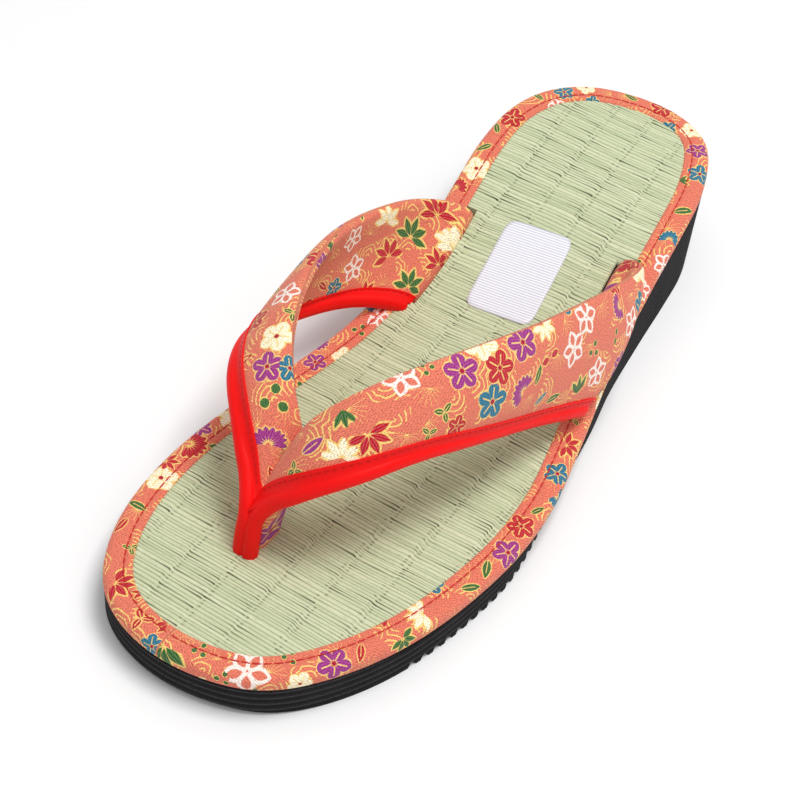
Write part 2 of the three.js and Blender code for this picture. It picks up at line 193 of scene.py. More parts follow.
class Arm:
    """One strap arm as functions of t along its rows and s from its front to its rear edge."""

    def __init__(self, rows, side):
        knots = np.arange(len(rows))
        self.rows = rows
        self.side = side
        self.front = smooth_curve(knots, [row[0] for row in rows])
        self.rear = smooth_curve(knots, [row[1] for row in rows])
        self.bulge = smooth_curve(knots, [row[2] for row in rows])
        self.thickness = smooth_curve(knots, [row[3] for row in rows])

    def chord(self, t, s):
        return self.front(t) + (self.rear(t) - self.front(t)) * s[..., None]

    def square(self, place, t, s):
        step = 0.02
        t = np.maximum(t, 0)
        along = place(t + step, s) - place(t - step, s)
        across = place(t, s + step) - place(t, s - step)
        return unit(self.side * np.cross(along, across))

    def middle(self, t, s):
        outward = self.square(self.chord, t, np.full_like(t, 0.5))
        return self.chord(t, s) + outward * (4 * s * (1 - s) * self.bulge(t))[..., None]

    def normal(self, t, s):
        return self.square(self.middle, t, s)

    def width(self, t):
        return np.linalg.norm(self.rear(t) - self.front(t), axis=-1)

    def outward(self, t):
        """Direction in which the front edge faces."""
        edge = np.zeros_like(t)
        return unit(self.middle(t, edge) - self.middle(t, edge + EDGE_STEP))

    def face(self, t, s, lift):
        """Point over or under the padded section: lift 1 is its outer face, -1 its inner face."""
        edge = np.minimum(1, np.abs(2 * s - 1) ** SECTION_POWER)
        fullness = (1 - edge) ** (1 / SECTION_POWER)
        seam = 1 - SEAM_CREASE * bell(t, 0, SEAM_CREASE_REACH) * (lift > 0)
        reach = lift * fullness * seam * self.thickness(t) / 2
        square = self.normal(t, s)
        shared = self.seam_normal(s)
        blend = ramp(t, 0, SEAM_BLEND)[..., None]
        return self.middle(t, s) + (shared + (square - shared) * blend) * reach[..., None]

    def seam_normal(self, s):
        """Direction that both arms share on the seam, so that they meet face to face."""
        start = np.zeros_like(s)
        both = [arm.normal(start, s) for arm in ARMS.values()]
        halfway = unit(both[0] + both[1])
        return halfway / np.sum(halfway * both[0], axis=-1, keepdims=True)


ARMS = {"lateral": Arm(LATERAL_ARM, 1), "medial": Arm(MEDIAL_ARM, -1)}

# Grid of an arm: rows, columns on each face, how they crowd to the edges, share of the last row cut
ARM_ROWS = 200
ARM_OUTER = 60
ARM_INNER = 44
ARM_CROWD = 0.45
ARM_SHORT = 0.2

# Middle of the arm's inner face across the flat cloth, where its outer face has 0
INNER_CHART = 100.0


def crowded(s):
    """Places from 0 to 1, moved toward both ends."""
    return (1 - ARM_CROWD) * s + ARM_CROWD * (0.5 - 0.5 * np.cos(np.pi * s))


def arm_grid(arm):
    """Points of one arm, row by row, with each point's place on the flat cloth."""
    turn = np.linspace(0, len(arm.rows) - 1 - ARM_SHORT, ARM_ROWS)
    even = np.linspace(0, 1, ARM_OUTER + 1)[:-1]
    back = np.linspace(1, 0, ARM_INNER + 1)[:-1]
    places = crowded(np.concatenate([even, back]))
    lifts = np.concatenate([np.ones(ARM_OUTER), -np.ones(ARM_INNER)])
    t, s = np.meshgrid(turn, places, indexing="ij")
    points = arm.face(t, s, np.broadcast_to(lifts, t.shape))
    return points, flat_cloth(points, arm.middle(turn, np.full_like(turn, 0.5)), lifts)


def flat_cloth(points, centre, lifts):
    """Place of each point along the arm's centre line and across it, with the inner face apart."""
    walked = walk(centre)
    ahead = unit(np.gradient(centre, axis=0))
    moves = np.diff(np.concatenate([points, points[:, :1]], axis=1), axis=1)
    forward = np.sum(moves * ahead[:, None], axis=-1)
    aside = np.sqrt(np.maximum(np.sum(moves**2, axis=-1) - forward**2, 0))
    gained = np.cumsum(forward, axis=1) - forward
    along = walked[:, None] + gained - gained[:, ARM_OUTER // 2, None]
    girth = aside.sum(axis=1, keepdims=True)
    turned = np.cumsum(aside, axis=1) - aside
    across = np.where(lifts > 0, turned - girth / 4, INNER_CHART + turned - 3 * girth / 4)
    return np.stack([along, across], axis=-1)


def tone(red, green, blue):
    """Linear colour from the red, green and blue that a picture shows, 0 to 255."""
    shown = np.array([red, green, blue]) / 255
    return np.where(shown <= 0.04045, shown / 12.92, ((shown + 0.055) / 1.055) ** 2.4)


# Colours of the printed cotton
CORAL = tone(225, 120, 96)
GOLD = tone(246, 206, 120)
WHITE = tone(252, 236, 226)
HEART = tone(176, 22, 52)
TINTS = {
    "purple": tone(156, 38, 130),
    "crimson": tone(190, 4, 34),
    "teal": tone(12, 112, 142),
    "cream": tone(252, 240, 206),
    "green": tone(48, 102, 38),
    "white": WHITE,
}


class Field:
    """A value in a material's node tree, with arithmetic that adds nodes."""

    def __init__(self, tree, socket):
        self.tree = tree
        self.socket = socket

    def math(self, operation, *others):
        made = self.tree.nodes.new("ShaderNodeMath")
        made.operation = operation
        for socket, value in zip(made.inputs, (self, *others)):
            connect(self.tree, value, socket)
        return Field(self.tree, made.outputs[0])

    def __add__(self, other):
        return self.math("ADD", other)

    def __sub__(self, other):
        return self.math("SUBTRACT", other)

    def __mul__(self, other):
        return self.math("MULTIPLY", other)

    def __truediv__(self, other):
        return self.math("DIVIDE", other)

    def __pow__(self, other):
        return self.math("POWER", other)

    def __abs__(self):
        return self.math("ABSOLUTE")

    def parts(self):
        made = self.tree.nodes.new("ShaderNodeSeparateXYZ")
        connect(self.tree, self, made.inputs[0])
        return [Field(self.tree, socket) for socket in made.outputs]

    def under(self, edge, soft):
        """1 where the value is below the edge, fading to 0 over a soft width."""
        made = self.tree.nodes.new("ShaderNodeMapRange")
        connect(self.tree, self, made.inputs["Value"])
        made.inputs["From Min"].default_value = edge - soft / 2
        made.inputs["From Max"].default_value = edge + soft / 2
        made.inputs["To Min"].default_value = 1
        made.inputs["To Max"].default_value = 0
        return Field(self.tree, made.outputs[0])


def connect(tree, value, socket):
    if isinstance(value, Field):
        tree.links.new(value.socket, socket)
    elif isinstance(value, np.ndarray):
        socket.default_value = (*value, 1)
    else:
        socket.default_value = value


class Look:
    """A material with a Principled shader and short ways to add nodes to it."""

    def __init__(self, name, settings):
        self.material = bpy.data.materials.new(name)
        self.material.use_nodes = True
        self.tree = self.material.node_tree
        self.shader = self.tree.nodes["Principled BSDF"]
        for label, value in settings.items():
            connect(self.tree, value, self.shader.inputs[label])

    def add(self, kind, output, inputs, **settings):
        made = self.tree.nodes.new(kind)
        for label, value in settings.items():
            setattr(made, label, value)
        for label, value in inputs.items():
            connect(self.tree, value, made.inputs[label])
        return Field(self.tree, made.outputs[output])

    def attribute(self, name):
        return self.add("ShaderNodeAttribute", "Vector", {}, attribute_name=name)

    def place(self):
        return self.add("ShaderNodeTexCoord", "Object", {})

    def stretch(self, vector, scale):
        return self.add("ShaderNodeMapping", 0, {"Vector": vector, "Scale": scale})

    def noise(self, vector, scale, detail=2.0):
        inputs = {"Vector": vector, "Scale": scale, "Detail": detail}
        return self.add("ShaderNodeTexNoise", "Fac", inputs)

    def mix(self, amount, low, high):
        inputs = {0: amount, 6: low, 7: high}
        return self.add("ShaderNodeMix", 2, inputs, data_type="RGBA")

    def vectors(self, operation, first, second):
        inputs = {0: first, 1: second}
        return self.add("ShaderNodeVectorMath", 0, inputs, operation=operation)

    def shade(self, colour, amount):
        """Colour made darker or lighter by a factor."""
        inputs = {0: colour, "Scale": amount}
        return self.add("ShaderNodeVectorMath", 0, inputs, operation="SCALE")

    def bump(self, height, distance, strength):
        inputs = {"Height": height, "Distance": distance * MM, "Strength": strength}
        normal = self.add("ShaderNodeBump", 0, inputs)
        connect(self.tree, normal, self.shader.inputs["Normal"])

    def colour(self, value):
        connect(self.tree, value, self.shader.inputs["Base Color"])


# Printed cotton: each face carries one motif of petals around a point, drawn by the shader
LINE = 0.09
SOFT = 0.05
HOLLOW_LINE = 0.17
PETAL_EDGE = -0.01
HATCH = 8.0
HATCH_LINE = 0.16
HATCH_SHARE = 0.1
VEIN_LINE = 0.035
VEIN_END = 0.72
TINY = 0.0001
FAR_OUTSIDE = 9

# Twill: pitch of the warp, pitch of the weft to it, and what they and the speckle do to the light
TWILL = 0.62
WEFT_TO_WARP = 1.7
WARP_LIGHT = 0.12
WEFT_LIGHT = 0.1
SPECKLE_LIGHT = 1.9
CLOTH_LIGHT = 1.02
WARP_RELIEF = 0.5
WEFT_RELIEF = 0.3

# Gold lines: size of a patch and how the lines wander, then the wave arcs and the pine needles
CELL = 9.0
CELL_UNEVEN = 0.8
WANDER = 1.8
WANDER_SCALE = 0.3
FAN_TILT = 2
WAVE_CHANCE = 0.62
ARC_PITCH = 1.45
ARC_LINE = 0.14
ARC_FAN = 0.15
NEEDLES = 8
NEEDLE_LINE = 0.045
NEEDLE_REACH = 0.5
NEEDLE_FAN = -0.2


def gold_lines(look, cloth):
    """Line drawing between the motifs: fans of wave arcs in some patches, pine needles in others."""
    inputs = {"Vector": cloth, "Scale": WANDER_SCALE, "Detail": 1.0}
    wander = look.add("ShaderNodeTexNoise", "Color", inputs)
    moved = look.vectors("ADD", cloth, look.vectors("MULTIPLY", wander, (WANDER, WANDER, 0)))
    inputs = {"Vector": moved, "Scale": 1 / CELL, "Randomness": CELL_UNEVEN}
    patch = lambda output: look.add("ShaderNodeTexVoronoi", output, inputs, voronoi_dimensions="2D")
    distance = patch("Distance")
    tilt, chance, _ = patch("Color").parts()
    x, y, _ = look.vectors("SUBTRACT", moved, patch("Position")).parts()
    facing = y.math("ARCTAN2", x) + tilt * FAN_TILT
    fan = facing.math("COSINE")
    ring = (distance * (CELL / ARC_PITCH)).math("FRACT") - 0.5
    arcs = abs(ring).under(ARC_LINE, soft=0.08) * (fan * -1).under(-ARC_FAN, soft=0.1)
    spoke = abs((facing * NEEDLES).math("SINE")) * distance
    shown = distance.under(NEEDLE_REACH, soft=0.04) * (fan * -1).under(-NEEDLE_FAN, soft=0.1)
    needles = spoke.under(NEEDLE_LINE, soft=0.03) * shown
    wavy = chance.under(WAVE_CHANCE, soft=0.02)
    return arcs * wavy + needles * (wavy * -1 + 1)


def cotton_look():
    look = Look("printed_cotton", {"Roughness": 0.82, "Sheen Weight": 0.12, "Specular IOR Level": 0.25})
    cloth = look.attribute("cloth")
    x, y, opening = look.attribute("spot").parts()
    petals, width, belly = look.attribute("form").parts()
    inner, fullness, hollow = look.attribute("style").parts()
    vein, heart, _ = look.attribute("core").parts()
    tint = look.attribute("tint")
    radius = (x * x + y * y).math("SQRT")
    angle = y.math("ARCTAN2", x)
    share = petals.math("POWER", -1.0) * (2 * math.pi)
    spoke = (angle / share).math("ROUND") * share
    folded = angle - spoke
    reach = radius * folded.math("COSINE")
    aside = abs(radius * folded.math("SINE"))
    u = ((reach - inner) / (inner * -1 + 1)).math("MAXIMUM", TINY).math("MINIMUM", 1 - TINY)
    half = (((u ** belly) * math.pi).math("SINE") ** fullness) * width * 0.5
    past = (inner - reach).math("MAXIMUM", reach - 1).math("MAXIMUM", 0.0)
    shut = abs(spoke).math("GREATER_THAN", opening) * FAR_OUTSIDE
    outside = aside - half + past + shut
    ground = look.mix(gold_lines(look, cloth), CORAL, GOLD)
    rim = outside + hollow * LINE
    colour = look.mix(rim.under(LINE, SOFT), ground, look.mix(hollow, GOLD, WHITE))
    core = outside + hollow * HOLLOW_LINE
    hatch = abs((aside * HATCH).math("FRACT") - 0.5).under(HATCH_LINE, soft=HATCH_LINE)
    petal = look.mix(hatch * HATCH_SHARE, tint, WHITE)
    colour = look.mix(core.under(PETAL_EDGE, SOFT), colour, look.mix(hollow, petal, CORAL))
    middle = aside.under(VEIN_LINE, soft=0.03) * u.under(VEIN_END, soft=0.06) * vein
    colour = look.mix(middle * outside.under(0, SOFT), colour, look.mix(hollow, GOLD, WHITE))
    colour = look.mix((radius - heart).under(0, SOFT), colour, HEART)
    u_cloth, v_cloth, _ = cloth.parts()
    warp = ((u_cloth + v_cloth) * (2 * math.pi / TWILL)).math("SINE")
    weft = ((u_cloth - v_cloth) * (2 * math.pi / (WEFT_TO_WARP * TWILL))).math("SINE")
    speckle = look.noise(cloth, scale=2.4) - 0.5
    light = warp * WARP_LIGHT + weft * WEFT_LIGHT + speckle * SPECKLE_LIGHT + CLOTH_LIGHT
    look.colour(look.shade(colour, light))
    look.bump(warp * WARP_RELIEF + weft * WEFT_RELIEF + speckle, distance=0.14, strength=0.6)
    return look.material


# Rush: straws across the foot, tied every bay, with painted shade in the partings between them that
# opens at the ties
BAY = 12.2
TIE_HALF = 0.85
FINE_LINE = 0.06
FINE_SHADE = 0.68
GAP_LEAST = 0.35
GAP_FALL = 1.5
GAP_WIDTH = 0.2
GAP_LINE = 0.03
KNOT_HALF = 0.45
KNOT_LINE = 0.2
KNOT_SHARE = 0.6
KNOT_SHADE = 0.65

# Colours of the rush: grain of streaks, flecks and patches, how strongly each shows, tones
STREAKS = (0.07, 1.7, 0)
FLECKS = (0.5, 3.4, 0)
PATCHES = (0.05, 0.05, 0)
HUE_SHARE = 0.6
STREAK_SHARE = 1.2
FLECK_SHARE = 0.3
PATCH_SHARE = 1.2
RUSH_PALE = tone(210, 216, 180)
RUSH_GREEN = tone(178, 191, 149)
RUSH_DRY = tone(206, 210, 174)
RUSH_FLECK = tone(160, 168, 124)
# Painted shade in the partings between the straws
PARTING_SHADE = tone(60, 63, 36)
# Painted shade down in the strap slots
SLOT_SHADE = tone(38, 34, 26)


def parting_shade(look, across, straw):
    """Painted shade between the straws: fine strokes all along, wide ones that run out from a tie, and
    marks beside the ties.
    """
    line = straw.math("ROUND")
    place = across / BAY
    bay = place.math("FLOOR")
    cell = look.add("ShaderNodeCombineXYZ", 0, {0: line, 1: bay})
    chance = look.add("ShaderNodeTexWhiteNoise", "Color", {"Vector": cell}, noise_dimensions="3D")
    opened, side, _ = chance.parts()
    away = abs(place - bay - side.under(0.5, soft=0.01))
    gap = opened * ((away * -1 + 1) ** GAP_FALL * (1 - GAP_LEAST) + GAP_LEAST)
    seam = abs(straw - line)
    fine = seam.under(FINE_LINE, soft=0.2) * FINE_SHADE
    wide = (seam - gap * GAP_WIDTH).under(GAP_LINE, soft=0.16) * gap ** 0.7
    tie = abs(place - place.math("ROUND")) * BAY
    beside_tie = abs(tie - TIE_HALF).under(KNOT_HALF, soft=0.4)
    knots = beside_tie * seam.under(KNOT_LINE, soft=0.2) * side.under(KNOT_SHARE, soft=0.4)
    return fine.math("MAXIMUM", wide).math("MAXIMUM", knots * KNOT_SHADE)


def rush_look():
    look = Look("woven_rush", {"Roughness": 0.6, "Specular IOR Level": 0.3})
    weave = look.attribute("weave")
    across, straw, slot = weave.parts()
    whole = straw.math("FLOOR")
    hue = look.add("ShaderNodeTexWhiteNoise", "Value", {"W": whole}, noise_dimensions="1D")
    streak = look.noise(look.stretch(weave, STREAKS), scale=1.0, detail=3.0)
    fleck = look.noise(look.stretch(weave, FLECKS), scale=1.0)
    patch = look.noise(look.stretch(weave, PATCHES), scale=1.0)
    colour = look.mix(hue * HUE_SHARE + (streak - 0.5) * STREAK_SHARE, RUSH_PALE, RUSH_GREEN)
    colour = look.mix((patch - 0.45) * PATCH_SHARE, colour, RUSH_DRY)
    colour = look.mix(fleck.under(0.42, soft=0.15) * FLECK_SHARE, colour, RUSH_FLECK)
    # Painted shade between the straws
    colour = look.mix(parting_shade(look, across, straw), colour, PARTING_SHADE)
    # Painted shade down in the strap slots, where the weave marks them
    look.colour(look.mix(slot.under(0.5, soft=0.5), SLOT_SHADE, colour))
    look.bump(fleck, distance=0.1, strength=0.3)
    return look.material


# Foam: pitch of the wall's ribs, how much lighter their crests are painted, tones of foam, crests and
# pores
RIB_PITCH = 2.6
CREST_SHARPNESS = 6.0
CREST_SHARE = 0.6
FOAM_DARK = tone(31, 29, 31)
FOAM_PALE = tone(44, 42, 44)
FOAM_CREST = tone(72, 70, 74)
FOAM_PORE = tone(24, 23, 24)


def foam_look():
    look = Look("sole_foam", {"Roughness": 0.88, "Specular IOR Level": 0.25})
    place = look.place()
    grain = look.noise(place, scale=1900.0, detail=3.0)
    cloud = look.noise(place, scale=120.0, detail=3.0)
    mottled = look.mix((cloud - 0.4) * 1.5, FOAM_DARK, FOAM_PALE)
    level = place.parts()[2] * (2 * math.pi / (RIB_PITCH * MM))
    crest = level.math("COSINE").math("MAXIMUM", 0.0) ** CREST_SHARPNESS
    ribbed = look.mix(crest * CREST_SHARE, mottled, FOAM_CREST)
    look.colour(look.mix(grain.under(0.42, soft=0.1), ribbed, FOAM_PORE))
    look.bump(grain, distance=0.15, strength=0.6)
    return look.material


# Satin: grain of its threads a metre
SATIN_GRAIN = (900, 900, 900)


def satin_look(name, red, dark):
    look = Look(name, {"Roughness": 0.5, "Specular IOR Level": 0.16})
    place = look.place()
    thread = look.noise(look.stretch(place, SATIN_GRAIN), scale=1.0)
    cloud = look.noise(place, scale=90.0)
    look.colour(look.mix((cloud - 0.3) * 0.8 + (thread - 0.5) * 0.5, red, dark))
    look.bump(thread, distance=0.08, strength=0.3)
    return look.material


def thread_look():
    look = Look("stitch_thread", {"Roughness": 0.7})
    ply = look.noise(look.place(), scale=2600.0)
    look.colour(look.mix(ply, tone(172, 22, 22), tone(212, 44, 36)))
    look.bump(ply, distance=0.05, strength=0.4)
    return look.material


# Label: pitch of its pinstripes, and how strongly they show
LABEL_STRIPE = 0.9
STRIPE_SHARE = 0.6


def label_look():
    look = Look("label_paper", {"Roughness": 0.38, "Specular IOR Level": 0.5})
    along = look.attribute("cloth").parts()[0]
    stripe = abs((along * (1 / LABEL_STRIPE)).math("FRACT") - 0.5).under(0.16, soft=0.1)
    fibre = look.noise(look.place(), scale=700.0, detail=3.0)
    plain = look.mix(fibre, tone(240, 241, 245), tone(232, 233, 238))
    look.colour(look.mix(stripe * STRIPE_SHARE, plain, tone(150, 152, 180)))
    look.bump(fibre, distance=0.02, strength=0.2)
    return look.material


cotton = cotton_look()
rush = rush_look()
foam = foam_look()
roll_red = satin_look("satin_roll", tone(240, 12, 10), tone(222, 8, 8))
# The flange's satin is a copy of the roll's, a little darker: painted shade of the fold over the roll
flange_red_shaded = satin_look("satin_flange_shaded", tone(236, 14, 12), tone(212, 8, 8))
# The stitches' satin is a darker copy again: painted shade along the stitch line
stitch_red_shaded = satin_look("satin_stitch_shaded", tone(204, 14, 12), tone(178, 8, 8))
thread = thread_look()
paper = label_look()

# Meshes, and how near to each other two points are welded
WELD_REACH = 0.001


def ring_faces(rows, columns, wrap_rows=False):
    """Four-sided faces between closed rows of points, and from the last row to the first on request."""
    i = np.arange(rows if wrap_rows else rows - 1)[:, None]
    j = np.arange(columns)
    i_next, j_next = (i + 1) % rows, (j + 1) % columns
    corners = [i * columns + j, i * columns + j_next, i_next * columns + j_next, i_next * columns + j]
    return np.stack(np.broadcast_arrays(*corners), axis=-1).reshape(-1, 4).tolist()


def loft_faces(rows, columns):
    """Faces of a loft through closed rows, with its two flat ends."""
    ends = [list(range(columns)), list(range((rows - 1) * columns, rows * columns))]
    return ring_faces(rows, columns) + ends


def add_to_scene(name, data):
    made = bpy.data.objects.new(name, data)
    bpy.context.scene.collection.objects.link(made)
    return made


def make_piece(name, points, faces, material, node=None, weld=False):
    mesh = bpy.data.meshes.new(name)
    mesh.from_pydata((np.reshape(points, (-1, 3)) * MM).tolist(), [], faces)
    work = bmesh.new()
    work.from_mesh(mesh)
    if weld:
        bmesh.ops.remove_doubles(work, verts=work.verts, dist=WELD_REACH * MM)
    bmesh.ops.recalc_face_normals(work, faces=work.faces)
    work.to_mesh(mesh)
    work.free()
    mesh.polygons.foreach_set("use_smooth", np.ones(len(mesh.polygons), bool))
    mesh.materials.append(material)
    piece = add_to_scene(name, mesh)
    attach(piece, "root")
    if node:
        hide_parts(node)
    return piece


def write(mesh, name, domain, values):
    """Attribute of a mesh for its material, with one vector an element."""
    layer = mesh.attributes.new(name, "FLOAT_VECTOR", domain)
    layer.data.foreach_set("vector", np.asarray(values, np.float32).ravel())


# Motifs: petals, width, belly, inner radius, fullness, opening in degrees, hollow, vein, heart
MOTIFS = {
    "blossom": (5, 0.76, 1.25, 0.12, 0.5, 180, 0, 1, 0.14),
    "outline": (5, 0.74, 1.0, 0.04, 0.85, 180, 1, 0, 0),
    "maple": (8, 0.36, 0.95, 0.08, 1, 115, 0, 0, 0),
    "bamboo": (11, 0.3, 0.9, 0.02, 1, 50, 0, 0, 0),
    "fan": (16, 0.34, 1.6, 0.2, 0.6, 98, 0, 0, 0),
    "berries": (3, 0.62, 1, 0.35, 0.5, 180, 0, 0, 0),
    "seeds": (2, 0.55, 1, 0.15, 0.6, 180, 0, 0, 0),
    "leaf": (1, 0.7, 0.85, -0.9, 0.7, 180, 0, 1, 0),
    "sprig": (3, 0.5, 0.9, 0.02, 0.8, 180, 0, 1, 0),
}


# How far a motif may reach, in radii, and how far it opens past its last petal, in degrees
MOTIF_REACH = 1.25
OPENING_MARGIN = 1

# Columns of a motif's row that each attribute of a face carries
CARRIED = {"form": [0, 1, 2], "style": [3, 4, 6], "core": [7, 8, 8]}


def print_motifs(piece, cloth, rows):
    """Give each face the motif that is nearest to it on the flat cloth."""
    mesh = piece.data
    cloth = np.reshape(cloth, (-1, 2))
    count = len(mesh.polygons)
    corner = np.empty(len(mesh.loops), np.int32)
    mesh.loops.foreach_get("vertex_index", corner)
    total = np.empty(count, np.int32)
    mesh.polygons.foreach_get("loop_total", total)
    face_of = np.repeat(np.arange(count), total)
    middle = np.stack([np.bincount(face_of, cloth[corner, k], count) / total for k in (0, 1)], axis=-1)
    centre = np.array([row[2:4] for row in rows])
    size = np.array([row[4] for row in rows])
    best = np.full(count, -1)
    least = np.full(count, MOTIF_REACH)
    for i, (place, radius) in enumerate(zip(centre, size)):
        away = np.linalg.norm(middle - place, axis=-1) / radius
        nearer = away < least
        best[nearer] = i
        least[nearer] = away[nearer]
    turn = np.radians([row[5] for row in rows])
    form = np.array([MOTIFS[row[0]] for row in rows])
    tint = np.array([TINTS[row[1]] for row in rows])
    chosen = best[face_of]
    offset = (cloth[corner] - centre[chosen]) / size[chosen, None]
    cosine, sine = np.cos(turn[chosen]), np.sin(turn[chosen])
    x = offset[:, 0] * cosine + offset[:, 1] * sine
    y = offset[:, 1] * cosine - offset[:, 0] * sine
    x = x + np.where(chosen < 0, FAR_OUTSIDE, 0)
    opening = np.radians(form[chosen, 5] + OPENING_MARGIN)
    write(mesh, "spot", "CORNER", np.stack([x, y, opening], axis=-1))
    for name, columns in CARRIED.items():
        write(mesh, name, "FACE", form[best][:, columns])
    write(mesh, "tint", "FACE", tint[best])
    write(mesh, "cloth", "POINT", np.column_stack([cloth, np.zeros(len(cloth))]))


# Scattered motifs: kinds, tints, uneven places, clearance and radii, as shares of the spacing
SCATTERED = ["blossom", "blossom", "maple", "leaf", "outline", "sprig", "berries", "bamboo", "fan"]
FLOWER_TINTS = ["purple", "crimson", "teal", "cream"]
MAPLE_TINTS = ["crimson", "crimson", "cream"]
GREEN_KINDS = ("leaf", "sprig", "berries", "bamboo")
SMALL_KINDS = ("leaf", "sprig", "berries")
SCATTER_JITTER = 0.22
SCATTER_CLEAR = 0.75
SMALL_RADIUS = (0.24, 0.32)
LARGE_RADIUS = (0.4, 0.48)


def scatter(along, across, spacing, taken=()):
    """Motifs over a stretch of cloth at uneven spacing, clear of those that are placed already."""
    rows = []
    for row, a in enumerate(np.arange(along[0], along[1], spacing)):
        for c in np.arange(across[0] + spacing * 0.5 * (row % 2), across[1], spacing):
            place = np.array([a, c]) + rng.uniform(-SCATTER_JITTER, SCATTER_JITTER, 2) * spacing
            clear = all(math.dist(place, other[2:4]) > SCATTER_CLEAR * spacing for other in taken)
            kind = rng.choice(SCATTERED)
            tint = rng.choice(FLOWER_TINTS)
            if kind in GREEN_KINDS:
                tint = "green"
            if kind == "maple":
                tint = rng.choice(MAPLE_TINTS)
            radii = SMALL_RADIUS if kind in SMALL_KINDS else LARGE_RADIUS
            radius = rng.uniform(*radii) * spacing
            if clear:
                rows.append((kind, tint, *place, radius, rng.uniform(0, 360)))
    return rows


# Print of each piece, as kind, tint, place along and across the flat cloth, radius and turn
LATERAL_PRINT = [
    ("leaf", "purple", 19, 0, 3.6, 20),
    ("sprig", "green", 12.5, -4.5, 2.4, 80),
    ("maple", "cream", 24.5, -5, 5.4, 60),
    ("maple", "crimson", 32.5, -1.5, 6, 280),
    ("bamboo", "green", 29, 6.5, 5.4, 265),
    ("outline", "white", 45, 9.5, 5, 30),
    ("berries", "green", 52, 10, 2, 0),
    ("sprig", "green", 53, -2, 3, 40),
    ("blossom", "purple", 60.5, 7, 5, 15),
    ("blossom", "cream", 68.5, 13, 5, 50),
    ("blossom", "crimson", 72, 5.5, 4.8, 0),
    ("blossom", "purple", 81.5, 10.5, 5.2, 30),
    ("blossom", "teal", 69, -3, 5.2, 10),
    ("fan", "purple", 81.5, -3, 4.8, 150),
    ("leaf", "green", 87, 0.5, 3, 75),
    ("leaf", "teal", 91, -7.5, 2.8, 40),
    ("leaf", "green", 98, -9, 3.2, 10),
    ("seeds", "crimson", 92, 4.5, 3.8, 20),
    ("outline", "white", 111, 12, 5.6, 10),
    ("outline", "white", 104, 4.5, 5.6, 40),
    ("bamboo", "green", 111, -11, 6.4, 100),
    ("sprig", "green", 48, -6.5, 2.6, 10),
    ("blossom", "crimson", 57, -7, 3.2, 0),
    ("blossom", "cream", 149, 20, 5, 20),
    ("blossom", "crimson", 131, 18, 3.6, 0),
    ("fan", "purple", 131, 11.5, 4.2, 200),
    ("outline", "white", 139, 5, 5, 0),
    ("seeds", "green", 128, 3, 2.4, 80),
    ("outline", "white", 119, -6, 5, 20),
]
MEDIAL_PRINT = [
    ("fan", "purple", 7, -2, 5, 30),
    ("berries", "green", 18, 2.5, 4, 20),
    ("blossom", "purple", 27, 2, 4.6, 10),
    ("blossom", "teal", 25.5, 8, 3.8, 0),
    ("blossom", "cream", 36, 5, 5, 30),
    ("seeds", "crimson", 32, -4, 1.8, 60),
    ("leaf", "crimson", -2, -3, 2.2, 0),
    ("outline", "white", 53, 5.5, 5, 20),
    ("outline", "white", 79, -9, 4.8, 50),
    ("blossom", "crimson", 47, -4, 4.6, 0),
    ("sprig", "green", 44, 9, 3, 60),
    ("blossom", "teal", 72, 3, 4.8, 0),
    ("blossom", "purple", 88, 8, 4.8, 0),
    ("maple", "crimson", 98, -6, 6, 90),
]
MEDIAL_INNER_PRINT = [
    ("maple", "crimson", 131, 90, 6.4, 260),
    ("maple", "cream", 136, 96, 5.8, 230),
    ("maple", "green", 122, 98, 6.6, 290),
    ("maple", "crimson", 114, 104, 6.6, 250),
    ("maple", "crimson", 133.5, 104, 5.4, 240),
    ("maple", "cream", 110.5, 92.5, 5.8, 280),
    ("maple", "green", 124, 114, 6.6, 280),
    ("outline", "white", 94.5, 94, 4.6, 20),
    ("outline", "white", 98.5, 105, 4.8, 50),
    ("blossom", "teal", 90.5, 109.5, 3.4, 0),
    ("leaf", "crimson", 84.5, 107, 3, 40),
    ("blossom", "purple", 71, 92, 4.6, 0),
    ("fan", "green", 81, 89, 4.4, 250),
]
BINDING_PRINT = [
    ("maple", "green", 1, 7, 7.6, 110),
    ("outline", "white", 24.5, 6, 6.8, 15),
    ("blossom", "purple", 48, 7, 4.8, 30),
    ("leaf", "crimson", 56, 6.5, 2.8, 120),
    ("maple", "green", 68, 8, 4.2, 70),
    ("maple", "cream", 77.5, 5, 5.4, 200),
    ("leaf", "green", 93.5, 7, 3, 30),
    ("leaf", "green", 101.5, 6, 3.2, 150),
    ("blossom", "purple", 110, 7, 4.6, 0),
    ("blossom", "crimson", 120, 5, 4.2, 20),
    ("blossom", "teal", 142.5, 6, 4, 10),
    ("maple", "crimson", 153, 5, 4.6, 90),
    ("leaf", "green", 242.5, 6, 3.2, 60),
    ("blossom", "teal", 259, 6.5, 4, 0),
    ("blossom", "purple", 270, 5, 3.8, 40),
    ("blossom", "cream", 281.5, 6, 4, 10),
    ("blossom", "crimson", 296, 6.5, 4.4, 0),
    ("leaf", "green", 307.5, 6, 2.8, 20),
    ("blossom", "cream", 323.5, 7, 3.4, 0),
    ("leaf", "green", 341.5, 6.5, 2.6, 80),
    ("blossom", "crimson", 355, 5, 4.4, 15),
    ("leaf", "green", 361.5, 6.5, 2.4, 140),
    ("leaf", "green", 370, 6, 2.8, 40),
    ("blossom", "cream", 378.5, 4.5, 4.4, 0),
    ("fan", "crimson", 387.5, 7.5, 4, 180),
    ("fan", "crimson", 513, 6.5, 5.4, 250),
    ("blossom", "cream", 528, 5, 4.8, 10),
    ("leaf", "green", 540, 5.5, 3.2, 100),
    ("leaf", "crimson", 548, 7, 3, 20),
    ("maple", "crimson", 569, 6, 6, 300),
    ("sprig", "crimson", 584, 5, 3.8, 200),
]


# Strap arms: spacing of the scattered motifs, where they start, and their span on each face
ARM_SPACING = 11
ARM_START = 4
OUTER_SPAN = (-20, 22)
INNER_SPAN = (INNER_CHART - 22, INNER_CHART + 22)


